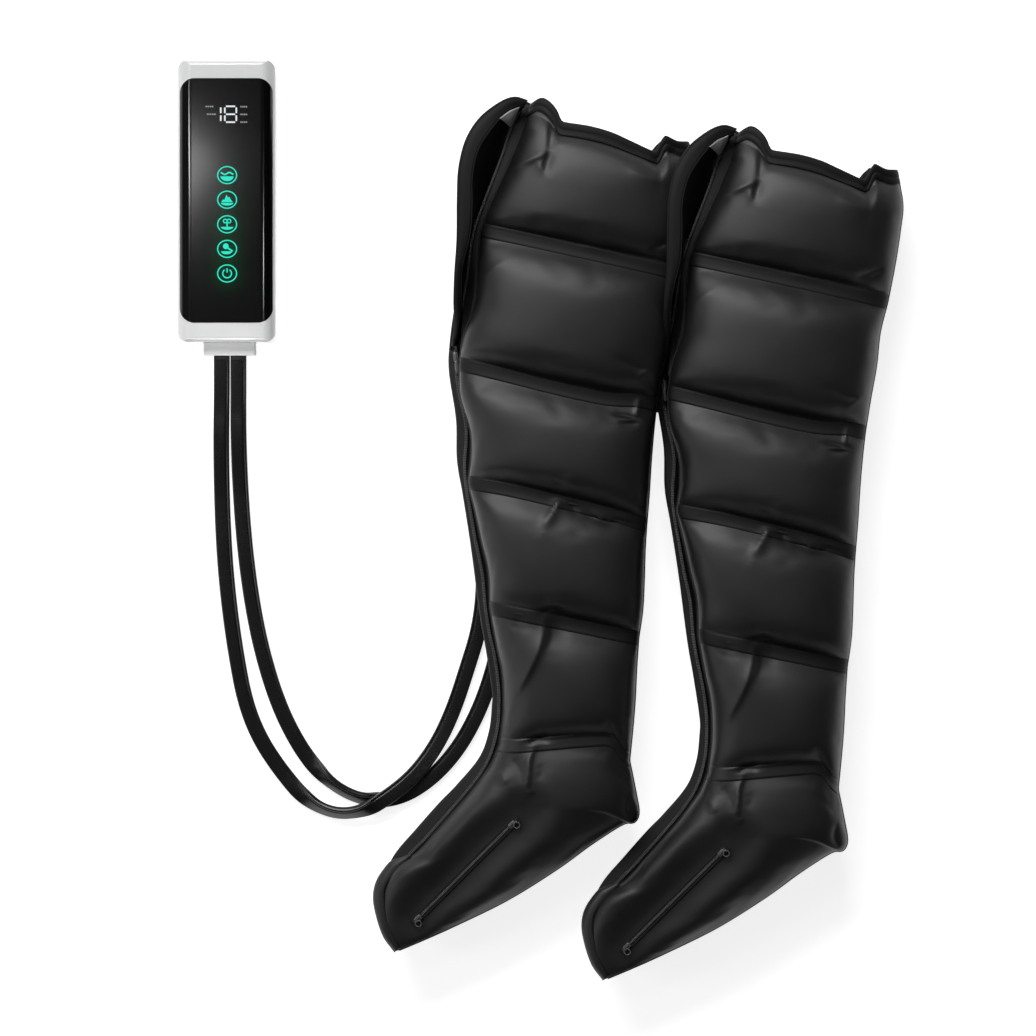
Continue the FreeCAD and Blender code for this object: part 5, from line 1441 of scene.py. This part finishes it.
class BOOT_OT_front_zip(bpy.types.Operator):
    """Build the front zip: tapes, coil turns and edge piping"""
    bl_idname = "boots.front_zip"
    bl_label = "Front zip"

    def execute(self, context):
        coil, edge = zip_lines()
        start = int(np.argmin(np.abs(coil[:, 1] - ZIP_OPEN_Y)))
        away = unit((coil - edge) * PLAN)
        reach = np.linalg.norm((coil - edge)[:, :2], axis=1)[:, None]
        tuck = away * np.minimum(1.4, reach * 0.4)
        passing = ramp(coil[:, 1], 114.0, 128.0)[:, None]
        back = reach * 0.88 + np.maximum(SLIDER_ROOM - reach * 0.88, 0) * passing
        under = reach * 0.5 + np.maximum(SLIDER_ROOM - reach * 0.5, 0) * passing
        deep = np.hstack([(coil - away * back)[:, :2], edge[:, 2:] - 10.0])
        near = np.stack([edge + (0, 0, -0.6), deep, coil - away * under + (0, 0, -1.6),
                         coil - tuck + (0, 0, -0.9), coil - tuck * 0.2 + (0, 0, -0.9)], 1)
        free = slice(0, start + 1)
        opened = near[free].copy()
        opened[:, 1] = opened[:, 0] + away[free] * 2.0 + (0, 0, 0.1)
        opened[:, 2] = coil[free] - away[free] * 2.5 + (0, 0, 0.4)
        blend = ramp(coil[free, 1], ZIP_OPEN_Y, 240.0)[:, None, None]
        opened = near[free] * (1 - blend) + opened * blend
        # The near tape dips deep into the gap and wears the black, matte lining cloth rather than
        # the zip tape's own: a real tape whose cloth paints the shade in the gap.
        boot_pair("front_zip_near_tape_painted_shade", thick_grid(spread(near[start::3], 12), TAPE_THICK), "lining")
        far = smooth_line(FAR_EDGE, EDGE_SAMPLES)
        far = far[np.maximum.accumulate(nearest(far, coil[:, :2]))]
        far = np.hstack([far, np.full((len(far), 1), 46.2)])
        out = np.stack([coil + away * 0.3 + (0, 0, -0.9), coil + away * 1.8 + (0, 0, -0.9),
                        (coil + far) / 2 + (0, 0, -0.3), far + away * 0.6], 1)[start:]
        tapes = join_grids([thick_grid(spread(opened[::3], 12), TAPE_THICK),
                            thick_grid(spread(out[::3], 10), TAPE_THICK)])
        boot_pair("front_zip_tapes", tapes, "binding", ("front_zip",))
        lap = coil[start:] + (0, 0, 0.25)
        turns = [beads_across(lap + away[start:] * 0.8, UP, 1.8, 2.0, 0.62),
                 beads_across(lap - away[start:] * 0.8, UP, 1.8, 2.0, 0.62),
                 beads_across(coil[:start] + (0, 0, 1.1), UP, 2.1, 3.0, 0.85)]
        boot_pair("front_zip_coil", join_grids(turns), "coil")
        rim = even_line(edge_line(True, False), 500)
        roll = sweep(rim + (0, 0, 0.4), oval(0.95, 0.95, 10))
        far_roll = sweep(np.hstack([smooth_line(FAR_EDGE, 400), np.full((400, 1), 45.2)]),
                         oval(1.4, 1.3, 10))
        boot_pair("front_edge_rolls", join_grids([roll, far_roll]), "fabric")
        return {"FINISHED"}


def plate(outline, low, high, shrink):
    """Flat piece with rounded upper and lower edges from a plan outline."""
    outline = np.asarray(outline, float)
    centre = outline.mean(0)
    reach = np.linalg.norm(outline - centre, axis=1, keepdims=True)
    levels = [(low, shrink), (low + shrink * 0.4, 0.15), (low + shrink, 0.0),
              (high - shrink, 0.0), (high - shrink * 0.4, 0.15), (high, shrink)]
    rings = [np.hstack([centre + (outline - centre) * (1 - inset / reach),
                        np.full((len(outline), 1), z)]) for z, inset in levels]
    return np.vstack(rings), tube_faces(len(levels), len(outline))


def ring_tube(centre, radius, wire):
    """Round wire bent to a ring."""
    path = np.hstack([oval(radius, radius, 28), np.zeros((28, 1))]) + centre
    return sweep(path, oval(wire, wire, 10), closed=True)


def placed(part, origin, ahead, above):
    """Moves a part from its own axes (x ahead, z above) to where it stands."""
    points, faces = part
    ahead = unit(np.asarray(ahead, float))
    above = unit(np.asarray(above, float))
    side = np.cross(above, ahead)
    frame_axes = np.stack([ahead, side, np.cross(ahead, side)])
    return np.asarray(points) @ frame_axes + np.asarray(origin, float), faces


def slider_parts(length, half, height, groove):
    """Zip slider: two cheeks, a top plate and a bridge, x along the zip."""
    nose = oval(length / 2, half, 28, 3.2)
    top = plate(nose, height * 0.52, height * 0.78, 0.35)
    cheeks = [plate(oval(length / 2 * 0.94, (half - groove) / 2, 16, 3.0)
                    + (0, side * (half + groove) / 2), 0.1, height * 0.55, 0.2)
              for side in (-1, 1)]
    arch_path = np.array([(-length * 0.28, 0, height * 0.7), (-length * 0.2, 0, height * 0.98),
                          (0, 0, height * 1.06), (length * 0.2, 0, height * 0.98),
                          (length * 0.28, 0, height * 0.7)])
    bridge = sweep(smooth_line(arch_path, 14), oval(half * 0.34, height * 0.1, 10),
                   up=(0, 1, 0))
    return [top, *cheeks, bridge]


# Sliders: length, half width, height and half the groove between the cheeks
FRONT_SLIDER = (12.0, 2.8, 5.2, 1.9)
FOOT_SLIDER = (9.0, 3.0, 2.5, 1.4)
FRONT_SLIDER_AT = (-92.2, 179.0, 48.5)
FRONT_SLIDER_AHEAD = (0.0963211, -0.9953503, 0.0)
FOOT_SLIDER_IN = 8.5  # from the zip's end to the middle of its slider


def foot_zip_axes():
    """The foot zip's direction towards the toe, its side and its up, and its length."""
    run = unit(FOOT_ZIP_END - FOOT_ZIP_TOP)
    side = unit(np.cross(UP, run))
    return run, side, np.cross(run, side), np.linalg.norm(FOOT_ZIP_END - FOOT_ZIP_TOP)


class BOOT_OT_sliders(bpy.types.Operator):
    """Build the zip sliders with their pulls"""
    bl_idname = "boots.sliders"
    bl_label = "Zip sliders"

    def execute(self, context):
        parts = slider_parts(*FRONT_SLIDER)
        tab = oval(7.0, 1.8, 24, 3.0) + (11.0, 0)
        parts += [plate(tab, 5.4, 6.6, 0.3), ring_tube((3.8, 0, 5.9), 1.1, 0.4)]
        boot_pair("front_slider_metal",
                  placed(join_grids(parts), FRONT_SLIDER_AT, FRONT_SLIDER_AHEAD, UP),
                  "zip_metal", ("front_slider",), "front_slider")
        run, _, above, length = foot_zip_axes()
        for name, turn, at in (("heel_end_slider", -1, FOOT_SLIDER_IN),
                               ("toe_end_slider", 1, length - FOOT_SLIDER_IN)):
            parts = slider_parts(*FOOT_SLIDER) + [ring_tube((3.4, 4.2 * turn, 2.9), 3.3, 0.7)]
            centre = FOOT_ZIP_TOP + run * at + above * 2.0
            boot_pair(name + "_metal", placed(join_grids(parts), centre, run * turn, above),
                      "zip_metal", (name,), name)
        return {"FINISHED"}


# The toe binding's two long sides in plan, from the front zip round the toe
TOE_INNER = [(-142.5, -369.5), (-156.0, -382.5), (-169.5, -402.0), (-171.3, -418.6),
             (-166.7, -446.0), (-155.0, -471.5)]
TOE_OUTER = [(-151.5, -364.5), (-164.5, -376.5), (-178.0, -395.4), (-182.3, -413.9),
             (-179.2, -434.8), (-171.2, -457.9), (-158.9, -475.0)]
TOE_SAMPLES = 120


class BOOT_OT_foot(bpy.types.Operator):
    """Build the toe binding, the foot zip and the back gusset"""
    bl_idname = "boots.foot"
    bl_label = "Foot zip, toe binding and gusset"

    def execute(self, context):
        self.foot_zip()
        self.toe_binding()
        self.toe_wall()
        self.gusset()
        return {"FINISHED"}

    def foot_zip(self):
        """Straight zip on the foot: its tape with a welt on each side, and two rows of coil."""
        run, side, above, length = foot_zip_axes()
        line = FOOT_ZIP_TOP + run * np.linspace(0, length, 60)[:, None]
        tape = sweep(line + above * 0.9, strip_section(7.0, 1.1, 12), up=above)
        welts = [sweep(line + above * 1.2 + side * off, oval(0.8, 0.7, 8), up=above)
                 for off in (-3.6, 3.6)]
        boot_pair("foot_zip_tape", join_grids([tape, *welts]), "binding",
                  ("foot_zip",))
        turns = [beads_across(line[1:-1] + above * 1.9 + side * off, above, 1.5, 1.6, 0.5)
                 for off in (-0.55, 0.55)]
        boot_pair("foot_zip_coil", join_grids(turns), "coil")

    def toe_binding(self):
        """Wide soft edge round the toe, level with the foot pad's own height, and its seam."""
        inner = smooth_line(TOE_INNER, TOE_SAMPLES)
        outer = smooth_line(TOE_OUTER, TOE_SAMPLES)
        pad = cell_shell("foot", True)[0].reshape(-1, 3)
        along = np.linspace(0, 1, TOE_SAMPLES)
        level = np.polyfit(along, pad[nearest(pad[:, :2], inner), 2], 3)
        level = np.polyval(level, along)[:, None]
        out = unit(outer - inner)
        start = (0.25 + 0.75 * ramp(along, 0, 0.16))[:, None]
        wide = np.linalg.norm(outer - inner, axis=1)[:, None] * start
        lines = [(-1.6, -1.2), (-1.0, 0.9), (0.6, 1.2), (0.45 * wide, 0.6), (0.8 * wide, -1.6),
                 (wide, -5.0), (0.85 * wide, -9.0)]
        grid = np.stack([np.hstack([inner + out * at, level + drop * start])
                         for at, drop in lines], 1)
        boot_pair("toe_binding_tape", thick_grid(spread(grid, 20), 1.6), "fabric",
                  ("toe_binding",))
        seam = (grid[8:-8, 1] + grid[8:-8, 2]) / 2 + (0, 0, 0.9)
        boot_pair("toe_binding_stitches", stitch_row(seam, UP, 3.0, 2.2, 0.35), "binding")

    def toe_wall(self):
        """Cloth between the two halves of the foot round the toe."""
        high, low = [self.toe_line(cell_shell("foot", upper)[0]) for upper in (True, False)]
        out = unit(np.cross(np.gradient(high * PLAN, axis=0), UP))
        out = out if out[60, 0] < 0 else -out
        wall = np.stack([high + (0, 0, -0.8) - out * 1.0,
                         high * PLAN + out * 2.0 + (0, 0, 66.0),
                         high * PLAN + out * 3.5 + (0, 0, 57.0),
                         low * PLAN + out * 2.0 + (0, 0, 46.0),
                         low + (0, 0, 0.8) - out * 1.0], 1)
        boot_pair("toe_wall", thick_grid(spread(wall, 16), 1.4), "fabric")

    def gusset(self):
        """Strip down the back between the two halves, with a roll on each edge."""
        back = even_line(edge_line(True, True), 320)
        low = even_line(edge_line(False, True), 320)
        inward = np.cross(UP, unit(np.gradient(back, axis=0)))
        if inward[40, 0] > 0:
            inward = -inward
        wall = np.stack([back + (0, 0, -0.5) + inward * 1.0,
                         back * PLAN + (0, 0, 63.0) + inward * 3.6,
                         back * PLAN + (0, 0, 57.0) + inward * 4.6,
                         low * PLAN + (0, 0, 51.0) + inward * 3.6,
                         low + (0, 0, 0.5) + inward * 1.0], 1)
        boot_pair("back_gusset_strip", thick_grid(spread(wall, 14), 1.6), "fabric",
                  ("back_gusset",))
        rolls = [sweep(back + (0, 0, 0.1), oval(1.3, 1.2, 10)),
                 sweep(low + (0, 0, -0.1), oval(1.3, 1.2, 10))]
        boot_pair("back_edge_rolls", join_grids(rolls), "fabric")

    def toe_line(self, grid):
        """Toe end of half a foot, led on round its front corner for a short way."""
        front = grid[:, 0]
        near = front[np.linalg.norm(front - front[-1], axis=1) < 31.0]
        return even_line(np.vstack([near[:-1], grid[-1]]), TOE_SAMPLES)


class BOOTS_PT_panel(bpy.types.Panel):
    """Sidebar panel that lists the builders and their settings"""
    bl_idname = "BOOTS_PT_panel"
    bl_label = "Compression boots"
    bl_space_type = "VIEW_3D"
    bl_region_type = "UI"
    bl_category = "Boots"

    def draw(self, context):
        for group in (context.scene.boots_studio, context.scene.boots_boot,
                      context.scene.boots_hoses, context.scene.boots_handset):
            box = self.layout.box()
            for key in group.__annotations__:
                box.prop(group, key)
        for operator in OPERATORS:
            self.layout.operator(operator.bl_idname)


OPERATORS = [STAGE_OT_build, HOSE_OT_build, HANDSET_OT_build, BOOT_OT_cells, BOOT_OT_thigh,
             BOOT_OT_front_zip, BOOT_OT_foot, BOOT_OT_sliders]
GROUPS = {"boots_studio": StudioSettings, "boots_boot": BootSettings,
          "boots_hoses": HoseSettings, "boots_handset": HandsetSettings}


def register():
    """Adds the settings, operators and panel."""
    for key, group in GROUPS.items():
        bpy.utils.register_class(group)
        setattr(bpy.types.Scene, key, bpy.props.PointerProperty(type=group))
    for operator in OPERATORS + [BOOTS_PT_panel]:
        bpy.utils.register_class(operator)


def unregister():
    """Removes the settings, operators and panel."""
    for operator in [BOOTS_PT_panel] + OPERATORS[::-1]:
        bpy.utils.unregister_class(operator)
    for key, group in GROUPS.items():
        delattr(bpy.types.Scene, key)
        bpy.utils.unregister_class(group)


def main():
    """Registers the add-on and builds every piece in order."""
    register()
    for operator in OPERATORS:
        prefix, name = operator.bl_idname.split(".")
        getattr(getattr(bpy.ops, prefix), name)()
    bpy.context.view_layer.update()


if __name__ == "__main__":
    main()
